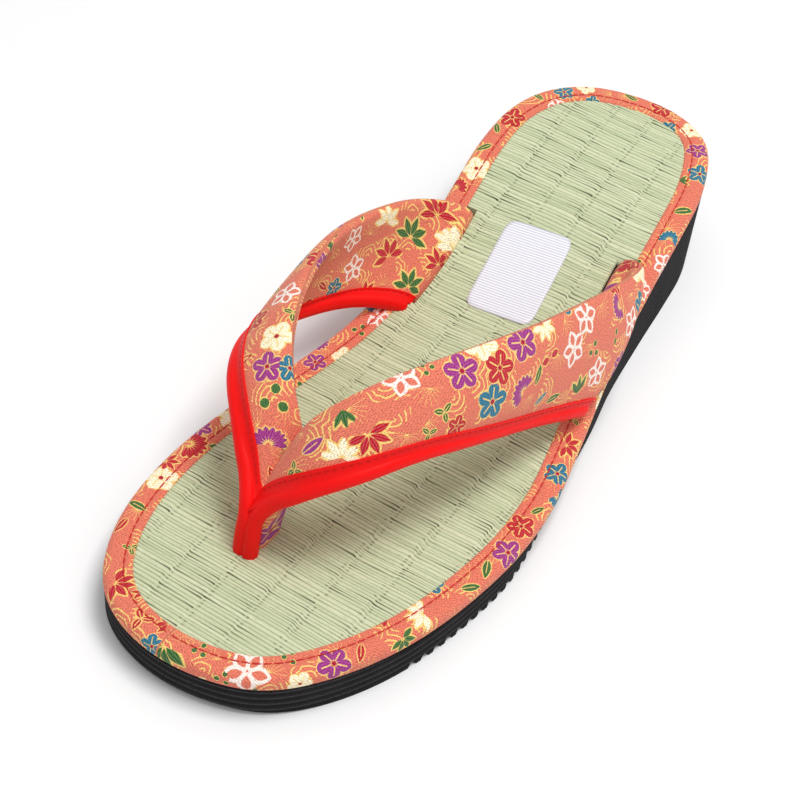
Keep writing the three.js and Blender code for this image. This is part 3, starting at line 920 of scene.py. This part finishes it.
def make_arm(side, outer, inner):
    points, cloth = arm_grid(ARMS[side])
    faces = loft_faces(*points.shape[:2])
    piece = make_piece("strap_" + side, points, faces, cotton, "strap_upper")
    stretch = (ARM_START, cloth[-1, 0, 0])
    fill = scatter(stretch, OUTER_SPAN, ARM_SPACING, outer)
    back = scatter(stretch, INNER_SPAN, ARM_SPACING, inner)
    print_motifs(piece, cloth, [*outer, *inner, *fill, *back])


make_arm("lateral", LATERAL_PRINT, [])
make_arm("medial", MEDIAL_PRINT, MEDIAL_INNER_PRINT)

# Toe post sections from foot to seam: front height, rear height, front y, rear y, half width
POST_X = -10.3
POST = np.array([
    (9, 9, -84, -73.5, 3.3),
    (15, 15, -84, -73.5, 3.3),
    (21, 21, -83.2, -71, 3.5),
    (26.5, 30, -81.8, -67, 4.4),
    (32, 39.5, -80.2, -63.4, 4.2),
])
POST_POWER = 4
POST_ROWS = 48
POST_SIDES = 48

# Cloth of the toe post: size around and up, bare margin, spacing of the scattered motifs, print
POST_GIRTH = 26
POST_HEIGHT = 30
POST_MARGIN = 2
POST_SPACING = 9
POST_PRINT = [
    ("blossom", "purple", 13, 6, 5.4, 10),
    ("maple", "crimson", 22.5, 7, 4.8, 40),
    ("leaf", "green", 5, 7, 3, 60),
    ("blossom", "crimson", 14, 19, 5, 30),
]


def make_post():
    sections = smooth_curve(np.arange(len(POST)), POST)(np.linspace(0, len(POST) - 1, POST_ROWS))
    low, high, front, rear, half = (column[:, None] for column in sections.T)
    angle = np.linspace(0, 2 * np.pi, POST_SIDES, endpoint=False)
    along = 0.5 - 0.5 * rounded(np.cos(angle), POST_POWER)
    x = POST_X + half * rounded(np.sin(angle), POST_POWER)
    y = front + (rear - front) * along
    z = low + (high - low) * along
    points = np.stack([x, y, z], axis=-1)
    faces = loft_faces(POST_ROWS, POST_SIDES)
    piece = make_piece("toe_post", points, faces, cotton, "strap_upper")
    girth = np.linspace(0, POST_GIRTH, POST_SIDES)
    height = np.linspace(0, POST_HEIGHT, POST_ROWS)
    cloth = np.stack(np.broadcast_arrays(height[:, None], girth), axis=-1)
    fill = scatter((POST_MARGIN, POST_HEIGHT), (POST_MARGIN, POST_GIRTH), POST_SPACING, POST_PRINT)
    print_motifs(piece, cloth, [*POST_PRINT, *fill])


make_post()

# Piping: a round roll along each arm's front edge and down the toe post, its stitched flange and tape
ROLL_RADIUS = 2.4
ROLL_REACH = 2.5
ROLL_POST_RADIUS = 2.35
ROLL_SPREAD = 1.4
ROLL_START = 0.25
ROLL_END = 7.0
ROLL_STEP = 0.3
ROLL_ROUNDING = 1.6
ROLL_TIP = 0.02
ROLL_DOWN = [(-84, 27), (-85.4, 21), (-86.2, 15), (-86.2, 9)]
ROLL_ROWS = 320
ROLL_SIDES = 28
FLANGE_OVER = 1.5
FLANGE_CROTCH = 2.6
FLANGE_CROTCH_REACH = 0.35
FLANGE_SQUARE = 0.1
FLANGE_LIFT = 0.4
FLANGE_LEVEL = 1.8
FLANGE_SAG = 0.16
FLANGE_SAG_END = 2
FLANGE_SEAM = 0.52
FLANGE_GROOVE = 0.12
FLANGE_GROOVE_WIDTH = 0.35
FLANGE_THICK = 0.7
FLANGE_ROWS = 300
FLANGE_COLUMNS = 16

# Flange on the outer face and tape on the inner one: name, stitches, side of the cloth, width
FLANGES = [
    ("piping_flange", "flange_stitches", 1, 2.7),
    ("piping_tape", "tape_stitches", -1, 1.6),
]


def path_frames(points):
    """Two directions square to a path that turn as little as possible along it."""
    along = unit(np.gradient(points, axis=0))
    side = np.zeros_like(points)
    last = np.array([0.0, 0.0, 1.0])
    for i, direction in enumerate(along):
        last = unit(last - direction * np.dot(last, direction))
        side[i] = last
    return side, np.cross(along, side)


def even_path(points, count):
    """Smooth path through points, resampled at even steps."""
    walked = walk(points)
    curve = smooth_curve(walked, points)
    return curve(np.linspace(0, walked[-1], count)), walked


def make_roll(name, arm, node):
    t = np.arange(ROLL_END, ROLL_START, -ROLL_STEP)
    edge = arm.middle(t, np.zeros_like(t)) + arm.outward(t) * ROLL_REACH
    down = [(POST_X + arm.side * ROLL_SPREAD, y, z) for y, z in ROLL_DOWN]
    path, walked = even_path([*edge, *down], ROLL_ROWS)
    radii = [ROLL_RADIUS] * len(edge) + [ROLL_POST_RADIUS] * len(down)
    along = np.linspace(0, walked[-1], ROLL_ROWS)
    to_end = 1 - np.minimum(1, along / ROLL_ROUNDING)
    radius = smooth_curve(walked, radii)(along) * np.sqrt(np.clip(1 - to_end**2, ROLL_TIP, 1))
    side, other = path_frames(path)
    angle = np.linspace(0, 2 * np.pi, ROLL_SIDES, endpoint=False)[:, None]
    around = side[:, None] * np.cos(angle) + other[:, None] * np.sin(angle)
    points = path[:, None] + around * radius[:, None, None]
    make_piece(name, points, loft_faces(ROLL_ROWS, ROLL_SIDES), roll_red, node)


def flange_face(arm, t, reach, lift, width):
    """Outer face of the flange, from the roll beyond the strap's edge to the cloth, and its normal."""
    edge = np.zeros_like(t)
    s = np.maximum(reach, 0) / arm.width(t)
    base = arm.middle(t, s) + arm.outward(t) * np.maximum(-reach, 0)[..., None]
    by_edge = edge + FLANGE_SQUARE
    square = unit(arm.face(t, by_edge, edge + lift) - arm.middle(t, by_edge))
    cloth = np.linalg.norm(arm.face(t, s, edge + lift) - arm.middle(t, s), axis=-1)
    groove = FLANGE_GROOVE * bell(reach, FLANGE_SEAM * width, FLANGE_GROOVE_WIDTH)
    level = FLANGE_LEVEL + FLANGE_SAG * np.minimum(reach**2, FLANGE_SAG_END)
    height = np.maximum(cloth + FLANGE_LIFT, level) - groove
    return base + square * height[..., None], square


def make_flange(name, arm, lift, width):
    over = np.linspace(-FLANGE_OVER, width, FLANGE_COLUMNS)
    reach = np.concatenate([over, over[::-1]])
    t, reach = np.meshgrid(np.linspace(0, ROLL_END, FLANGE_ROWS), reach, indexing="ij")
    widening = 1 + FLANGE_CROTCH / FLANGE_OVER * bell(t, 0, FLANGE_CROTCH_REACH)
    reach = np.where(reach < 0, reach * widening, reach)
    points, square = flange_face(arm, t, reach, lift, width)
    points[:, FLANGE_COLUMNS:] -= square[:, FLANGE_COLUMNS:] * FLANGE_THICK
    make_piece(name, points, loft_faces(*points.shape[:2]), flange_red_shaded)


for side, arm in ARMS.items():
    make_roll("piping_roll_" + side, arm, "piping_" + side)
for name, _, lift, width in FLANGES:
    for side, arm in ARMS.items():
        make_flange(f"{name}_{side}", arm, lift, width)

# Bound edge: section from its inner lip over the rounded rim to the tuck, as inset and drop
BINDING_LIP = [(8, 1.2), (8, 0.7), (7.85, 0.3), (7.4, 0.06), (5.2, 0), (2.8, 0), (1.5, 0.22)]
BINDING_RIM = [(0.7, 0.75), (0.2, 1.5), (0, 2.5), (0.06, 3.6), (0.3, 4.4), (0.8, 4.8)]
BINDING_TUCK = [(6, 4.8), (6, 3.6), (1.6, 3.6), (1.6, 1.4)]
BINDING_FACE_STEPS = 44
BINDING_STEPS = 760
STITCH_INSET = 5.5
STITCH_GROOVE = 0.28
STITCH_GROOVE_WIDTH = 0.5

# Scattered print of the binding: where it starts, span across the cloth, spacing
BINDING_START = 3
BINDING_SPAN = (1, 16)
BINDING_SPACING = 8.4

# Puckers: waves around the foot with their phases, height, and the inset where they are highest
PUCKERS = [(61, 0), (97, 2), (143, 4)]
PUCKER_HEIGHT = 0.035
PUCKER_INSET = 4
PUCKER_WIDTH = 3


def binding_grid():
    """Points of the bound edge, row by row around the foot, with their place on the flat cloth."""
    face, _ = even_path([*BINDING_LIP, *BINDING_RIM], BINDING_FACE_STEPS)
    section = np.concatenate([face, BINDING_TUCK])
    inset, drop = section.T
    shown = np.arange(len(section)) < BINDING_FACE_STEPS
    drop = drop + STITCH_GROOVE * bell(inset, STITCH_INSET, STITCH_GROOVE_WIDTH) * shown
    angle = np.linspace(0, 2 * np.pi, BINDING_STEPS, endpoint=False)
    rim = outline(angle)
    steps = np.linalg.norm(np.roll(rim, -1, axis=0) - rim, axis=-1)
    along = np.cumsum(steps) - steps
    pucker = sum(np.sin(along * k / along[-1] * 2 * np.pi + phase) for k, phase in PUCKERS)
    angles, insets = np.broadcast_arrays(angle[:, None], inset)
    flat = inset_point(angles, insets)
    swell = PUCKER_HEIGHT * pucker[:, None] * bell(inset, PUCKER_INSET, PUCKER_WIDTH) * shown
    z = top(flat[..., 1]) - drop + swell
    points = np.concatenate([flat, z[..., None]], axis=-1)
    return points, np.stack(np.broadcast_arrays(along[:, None], walk(section)), axis=-1)


def make_binding():
    points, cloth = binding_grid()
    faces = ring_faces(*points.shape[:2], wrap_rows=True)
    piece = make_piece("bound_edge", points, faces, cotton, "edge_binding")
    fill = scatter((BINDING_START, cloth[-1, 0, 0]), BINDING_SPAN, BINDING_SPACING, BINDING_PRINT)
    print_motifs(piece, cloth, [*BINDING_PRINT, *fill])


make_binding()

# Rush face: uneven straws across the foot, tied in rows along it, with a slot for each strap end
RUSH_INSET = 7.65
RUSH_DROP = 0.75
RUSH_DEPTH = 4.0
RUSH_BORDER = 9
RUSH_MIDDLE = 62
RUSH_FULL_WIDTH = 34.0
RUSH_EDGE_STEPS = 900
RUSH_TIP_GAP = 0.1
STRAW_PITCH = 1.08
STRAW_ROWS = (0.0, 0.13, 0.5, 0.87)
STRAW_HEIGHT = 0.3
STRAW_SLANT = 0.45

# Uneven straws: widths, heights, nudge along the foot, and waves of nudges with rates and starts
STRAW_WIDTHS = (0.65, 1.35)
STRAW_LEVELS = (0.7, 1.15)
STRAW_NUDGE = 0.2
WAVE_NUDGE = 0.4
WAVE_RATES = (0.15, 0.4)
WAVE_STARTS = (0, 6)

# Sway of the whole weave: height, length across, length along, phase
SWAYS = [(0.3, 9, 23, 0), (0.2, 5.3, -11, 2)]
SWAY_POWER = 0.3

# Ties: width, turn and pinch of the straws, share of a bay, place of the first row and its slope
TIE_WIDTH = 0.8
TIE_TURN = 0.3
TIE_PINCH = 0.5
TIE_SHARE = 2 * TIE_HALF / BAY
TIE_START = 0.9
TIE_SLOPE = 0.0138

# Slots for the lateral and the medial strap end: start, end and inset of the inner wall
SLOT_DEPTH = 3.4
SLOT_WALL = 0.03
SLOTS = [(15.2, 62.6, 13.4), (17.4, 55.8, 11.5)]


def rush_edges(y):
    """Medial and lateral edges of the rush face at y."""
    angle = np.linspace(0, np.pi, RUSH_EDGE_STEPS)
    lateral = inset_point(angle, RUSH_INSET)
    medial = inset_point(2 * np.pi - angle, RUSH_INSET)
    return np.interp(y, medial[:, 1], medial[:, 0]), np.interp(y, lateral[:, 1], lateral[:, 0])


def rush_columns(medial, lateral):
    """Places across the foot for each row, with a pair of columns at each slot's inner wall."""
    borders = []
    for _, _, far in SLOTS:
        wall = far - RUSH_INSET
        borders.append(np.sort([*np.arange(RUSH_BORDER), wall - SLOT_WALL, wall + SLOT_WALL]))
    width = lateral - medial
    squeeze = np.minimum(1, width / RUSH_FULL_WIDTH)[:, None]
    right = lateral[:, None] - borders[0][::-1] * squeeze
    left = medial[:, None] + borders[1] * squeeze
    share = np.linspace(0, 1, RUSH_MIDDLE + 2)[1:-1]
    middle = left[:, -1:] + (right[:, :1] - left[:, -1:]) * share
    return np.concatenate([left, middle, right], axis=1)


def straw_relief(span, straw, share):
    """Height of the straws above the face, and their shift along the foot from bay to bay."""
    place = (span - TIE_HALF) / BAY
    bay = np.floor(place).astype(int)
    within = place - bay
    bay = bay - bay.min()
    tie = np.round(span / BAY)
    tied = bell(span, tie * BAY, TIE_WIDTH)
    count = (straw.max() + 2, bay.max() + 2)
    level = rng.uniform(*STRAW_LEVELS, count)[straw, bay]
    waves = np.outer(np.arange(count[0]), rng.uniform(*WAVE_RATES, count[1]))
    waves = waves + rng.uniform(*WAVE_STARTS, count[1])
    nudge = rng.uniform(-STRAW_NUDGE, STRAW_NUDGE, count) + WAVE_NUDGE * np.sin(waves)
    change = ramp(within, 1 - TIE_SHARE, 1)
    held = lambda line: nudge[line, bay] + (nudge[line, bay + 1] - nudge[line, bay]) * change
    slant = STRAW_SLANT * (np.minimum(1, within / (1 - TIE_SHARE)) - 0.5 - change)
    shift = held(straw) * (1 - share) + held(straw + 1) * share + slant
    round_top = np.sqrt(np.clip(1 - (2 * share - 1) ** 2, 0, 1))
    turns = np.where((straw + tie) % 2 == 0, TIE_TURN, -TIE_TURN) * tied
    height = round_top * level * (1 - TIE_PINCH * tied) + turns
    return STRAW_HEIGHT * height, shift * STRAW_PITCH


def make_rush():
    tip = LENGTH / 2 - RUSH_INSET - RUSH_TIP_GAP
    straws = int(2 * tip / STRAW_PITCH)
    ordinal = np.add.outer(np.arange(straws), STRAW_ROWS).ravel()
    lines = np.concatenate([[0], np.cumsum(rng.uniform(*STRAW_WIDTHS, straws))])
    rows = -tip + 2 * tip * np.interp(ordinal, np.arange(straws + 1), lines / lines[-1])
    medial, lateral = rush_edges(rows)
    x = rush_columns(medial, lateral)
    level = np.broadcast_to(rows[:, None], x.shape)
    straw = np.broadcast_to(np.floor(ordinal)[:, None], x.shape).astype(int)
    share = np.broadcast_to((ordinal % 1)[:, None], x.shape)
    span = x - TIE_START + TIE_SLOPE * level
    height, shift = straw_relief(span, straw, share)
    # Where the slots are, for the painted shade in them
    slot = np.zeros_like(x)
    sway = sum(tall * np.sin(x / wide + level / long + phase) for tall, wide, long, phase in SWAYS)
    y = level + (sway + shift) * bump(level, 0, tip) ** SWAY_POWER
    edges = (lateral, medial)
    for edge, (start, end, far) in zip(edges, SLOTS):
        inside = (np.abs(x - edge[:, None]) < far - RUSH_INSET) & (level > start) & (level < end)
        height = np.where(inside, -SLOT_DEPTH, height)
        slot = np.where(inside, 1, slot)
    face = np.stack([x, y, top(y) - RUSH_DROP + height], axis=-1)
    low = top(rows) - RUSH_DROP - RUSH_DEPTH
    under = [np.stack([edge, rows, low], axis=-1)[:, None] for edge in edges]
    points = np.concatenate([face, *under], axis=1)
    faces = loft_faces(*points.shape[:2])
    piece = make_piece("rush_face", points, faces, rush, "footbed")
    weave = np.stack([span, np.broadcast_to(ordinal[:, None], x.shape), slot], axis=-1)
    closed = np.concatenate([weave, weave[:, -1:], weave[:, :1]], axis=1)
    write(piece.data, "weave", "POINT", closed.reshape(-1, 3))


make_rush()

# Stitches: short thread spindles along a path, each row's spindles by length, pitch and radius
SPINDLE = np.array([(-0.5, 0.1), (-0.4, 0.7), (-0.15, 1), (0.15, 1), (0.4, 0.7), (0.5, 0.1)])
SPINDLE_SIDES = 6
BINDING_STITCH = (2.6, 2.8, 0.22)
FLANGE_STITCH = (1.6, 2.2, 0.2)
BINDING_STITCH_LIFT = 0.12
FLANGE_STITCH_MARGIN = 0.1
STITCH_STEP = 0.3
RIM_STEPS = 1600
SEAM_STEPS = 500


def make_stitches(name, path, square, sizes, material):
    length, pitch, radius = sizes
    walked = walk(path)
    middles = np.arange(pitch / 2, walked[-1], pitch)

    def find(values, place):
        return np.stack([np.interp(place, walked, column) for column in values.T], axis=-1)

    along = unit(find(path, middles + STITCH_STEP) - find(path, middles - STITCH_STEP))
    up = unit(find(square, middles))
    aside = np.cross(along, up)
    turn = np.linspace(0, 2 * np.pi, SPINDLE_SIDES, endpoint=False)[:, None]
    around = aside[:, None] * np.cos(turn) + up[:, None] * np.sin(turn)
    shift, girth = SPINDLE.T[..., None, None]
    core = find(path, middles)[:, None, None] + along[:, None, None] * shift * length
    points = core + around[:, None] * girth * radius
    template = loft_faces(len(SPINDLE), SPINDLE_SIDES)
    starts = np.arange(len(middles)) * len(SPINDLE) * SPINDLE_SIDES
    faces = [[start + corner for corner in face] for start in starts.tolist() for face in template]
    make_piece(name, points, faces, material)


def stitch_binding():
    flat = inset_point(np.linspace(0, 2 * np.pi, RIM_STEPS), STITCH_INSET)
    path = np.column_stack([flat, top(flat[:, 1]) - STITCH_GROOVE + BINDING_STITCH_LIFT])
    up = np.tile([0.0, 0.0, 1.0], (len(path), 1))
    make_stitches("binding_stitches", path, up, BINDING_STITCH, thread)


def stitch_flange(name, arm, lift, width):
    t = np.linspace(FLANGE_STITCH_MARGIN, ROLL_END - FLANGE_STITCH_MARGIN, SEAM_STEPS)
    path, square = flange_face(arm, t, np.full_like(t, FLANGE_SEAM * width), lift, width)
    make_stitches(name, path, square, FLANGE_STITCH, stitch_red_shaded)


stitch_binding()
for _, name, lift, width in FLANGES:
    for side, arm in ARMS.items():
        stitch_flange(f"{name}_{side}", arm, lift, width)

# Plain label on the rush: centre, half sizes, turn, corner roundness
LABEL_CENTRE = (-4.5, 43)
LABEL_HALF = (10.8, 16.8)
LABEL_TURN = 8.5
LABEL_POWER = 9
LABEL_LIFT = 0.5
LABEL_THICK = 0.14
LABEL_CORE = 0.05
LABEL_RINGS = 12
LABEL_SIDES = 96


def make_label():
    angle = np.linspace(0, 2 * np.pi, LABEL_SIDES, endpoint=False)
    circle = np.stack([np.cos(angle), np.sin(angle)], axis=-1)
    rim = rounded(circle, LABEL_POWER) * LABEL_HALF
    sizes = np.concatenate([np.linspace(LABEL_CORE, 1, LABEL_RINGS), [1, LABEL_CORE]])
    drop = np.concatenate([np.zeros(LABEL_RINGS), [LABEL_THICK, LABEL_THICK]])
    flat = rim * sizes[:, None, None]
    turn = math.radians(LABEL_TURN)
    x = LABEL_CENTRE[0] + flat[..., 0] * math.cos(turn) - flat[..., 1] * math.sin(turn)
    y = LABEL_CENTRE[1] + flat[..., 0] * math.sin(turn) + flat[..., 1] * math.cos(turn)
    z = top(y) - RUSH_DROP + LABEL_LIFT - drop[:, None]
    points = np.stack([x, y, z], axis=-1)
    faces = loft_faces(*points.shape[:2])
    piece = make_piece("plain_label", points, faces, paper)
    cloth = np.concatenate([flat[..., ::-1], np.zeros_like(z)[..., None]], axis=-1)
    write(piece.data, "cloth", "POINT", cloth.reshape(-1, 3))


make_label()

# Outsole: ribbed wall, and V-shaped cross grooves below that leave two plain pads
WALL_SET_BACK = 0.1
WAIST_TUCK = 2.4
WAIST_Y = -14
WAIST_REACH = 36
RIB_DEPTH = 0.55
SEAT_DROP = 5.1
TOE_SPRING = 1.6
TOE_SPRING_FROM = -92
HEEL_BEVEL = 1.2
HEEL_BEVEL_FROM = 108
ARCH_RISE = 1.1
ARCH_Y = 20
ARCH_REACH = 38
TREAD_PITCH = 4.2
TREAD_WIDTH = 2.8
TREAD_ROOT = 0.6
TREAD_DEPTH = 1.2
TREAD_FROM = -106.5
TREAD_TO = 114
TREAD_OPEN = (-84, 18)
TREAD_MARGIN = 5
PADS = [(0, -56, 36, 27), (-6, 84, 30, 27)]
SOLE_ROWS = 170
SOLE_ROW_GAP = 0.15
WALL_STEPS = 62
UNDER_STEPS = 40


def underside(y):
    toe = np.maximum(0, (TOE_SPRING_FROM - y) / (TOE_SPRING_FROM + LENGTH / 2))
    heel = np.maximum(0, (y - HEEL_BEVEL_FROM) / (LENGTH / 2 - HEEL_BEVEL_FROM))
    return TOE_SPRING * toe**2 + HEEL_BEVEL * heel**2 + ARCH_RISE * bump(y, ARCH_Y, ARCH_REACH)


def tread_cut(x, y):
    """Depth of the V-shaped tread groove at a point of the underside."""
    line = TREAD_FROM + np.round((y - TREAD_FROM) / TREAD_PITCH) * TREAD_PITCH
    slope = (TREAD_WIDTH / 2 - np.abs(y - line)) / (TREAD_WIDTH / 2 - TREAD_ROOT / 2)
    open_here = (line > TREAD_FROM - TREAD_PITCH / 2) & (line < TREAD_TO)
    lateral = inset_point(side_angle(y, 1), TREAD_MARGIN)[..., 0]
    medial = inset_point(side_angle(y, -1), TREAD_MARGIN)[..., 0]
    at_wall = (line > TREAD_OPEN[0]) & (line < TREAD_OPEN[1])
    open_here = open_here & (at_wall | ((x > medial) & (x < lateral)))
    for pad_x, pad_y, width, length in PADS:
        beside = np.abs(line - pad_y) < length / 2 + TREAD_WIDTH / 2
        open_here = open_here & ~(beside & (np.abs(x - pad_x) < width / 2))
    return np.where(open_here, TREAD_DEPTH * np.clip(slope, 0, 1), 0)


def wall_inset(angle, y, z):
    tuck = WAIST_TUCK * np.maximum(0, np.sin(angle)) * bump(y, WAIST_Y, WAIST_REACH)
    rib = RIB_DEPTH * (1 - np.abs(np.cos(np.pi * z / RIB_PITCH)))
    return WALL_SET_BACK + tuck + rib


def wall_points(rows, side):
    angle = side_angle(rows, side)[:, None]
    y = rows[:, None]
    low = underside(y) + tread_cut(side * LENGTH, y)
    high = top(y) - SEAT_DROP
    z = low + (high - low) * np.linspace(0, 1, WALL_STEPS)
    angles = np.broadcast_to(angle, z.shape)
    flat = inset_point(angles, wall_inset(angles, y, z))
    return np.concatenate([flat, z[..., None]], axis=-1)


def make_outsole():
    """Foam wedge whose two walls meet at the toe and heel tips, where they are welded."""
    lines = np.arange(TREAD_FROM, TREAD_TO, TREAD_PITCH)
    shifts = [-TREAD_WIDTH / 2, -TREAD_ROOT / 2, TREAD_ROOT / 2, TREAD_WIDTH / 2]
    cuts = np.concatenate([lines + shift for shift in shifts])
    curve = -LENGTH / 2 * np.cos(np.linspace(0, np.pi, SOLE_ROWS))
    curve = curve[np.abs(curve[:, None] - cuts).min(axis=1) > SOLE_ROW_GAP]
    rows = np.sort(np.concatenate([curve, cuts]))
    lateral = wall_points(rows, 1)
    medial = wall_points(rows, -1)
    share = np.linspace(0, 1, UNDER_STEPS)[1:-1, None]
    floor = medial[:, :1] + (lateral[:, :1] - medial[:, :1]) * share
    floor[..., 2] = underside(floor[..., 1]) + tread_cut(floor[..., 0], rows[:, None])
    points = np.concatenate([floor, lateral, medial[:, ::-1]], axis=1)
    faces = ring_faces(*points.shape[:2])
    make_piece("foam_sole", points, faces, foam, "outsole", weld=True)


make_outsole()

# Pale floor and soft light from all around, with the camera at the photograph's angle
FLOOR_HALF = 3000.0
FLOOR_PALE = tone(248, 248, 248)
FLOOR_GREY = tone(244, 244, 244)
SKY_STRENGTH = 0.57

# Lights: name, place, size and power, all with one aim
LIGHT_AIM = (0, 0, 20)
LIGHTS = [("key", (220, 60, 1020), 400, 7.0), ("fill", (700, -600, 800), 900, 0.6)]

# Camera: place and aim, roll in degrees, lens and sensor width
CAMERA_PLACE = (166.2, -327.4, 406.7)
CAMERA_AIM = (-8.7, -14.4, 12.3)
CAMERA_ROLL = 6.2
CAMERA_LENS = 83.0
CAMERA_SENSOR = 36


def aimed(place, aim):
    """Turn that points a light or the camera from its place at its aim."""
    return (Vector(aim) * MM - Vector(place) * MM).to_track_quat("-Z", "Y")


def make_floor():
    mesh = bpy.data.meshes.new("floor")
    half = FLOOR_HALF * MM
    corners = [(-half, -half, 0), (half, -half, 0), (half, half, 0), (-half, half, 0)]
    mesh.from_pydata(corners, [], [(0, 1, 2, 3)])
    look = Look("pale_floor", {"Roughness": 0.9, "Specular IOR Level": 0.1})
    cloud = look.noise(look.place(), scale=3.0)
    look.colour(look.mix(cloud, FLOOR_PALE, FLOOR_GREY))
    mesh.materials.append(look.material)
    floor = add_to_scene("floor", mesh)


def make_lights():
    world = bpy.data.worlds.new("studio")
    world.use_nodes = True
    sky = world.node_tree.nodes["Background"]
    sky.inputs["Color"].default_value = (1, 1, 1, 1)
    sky.inputs["Strength"].default_value = SKY_STRENGTH
    bpy.context.scene.world = world
    for name, place, size, power in LIGHTS:
        lamp = bpy.data.lights.new(name, "AREA")
        lamp.size = size * MM
        lamp.energy = power
        light = add_to_scene(name, lamp)
        light.location = Vector(place) * MM
        light.rotation_euler = aimed(place, LIGHT_AIM).to_euler()
    bpy.context.scene.view_settings.view_transform = "Standard"


def make_camera():
    camera = bpy.data.cameras.new("camera")
    camera.lens = CAMERA_LENS
    camera.sensor_width = CAMERA_SENSOR
    place = Matrix.Translation(Vector(CAMERA_PLACE) * MM)
    turn = aimed(CAMERA_PLACE, CAMERA_AIM).to_matrix().to_4x4()
    roll = Matrix.Rotation(math.radians(CAMERA_ROLL), 4, "Z")
    holder = add_to_scene("camera", camera)
    holder.matrix_world = place @ turn @ roll
    bpy.context.scene.camera = holder


make_floor()
make_lights()
make_camera()
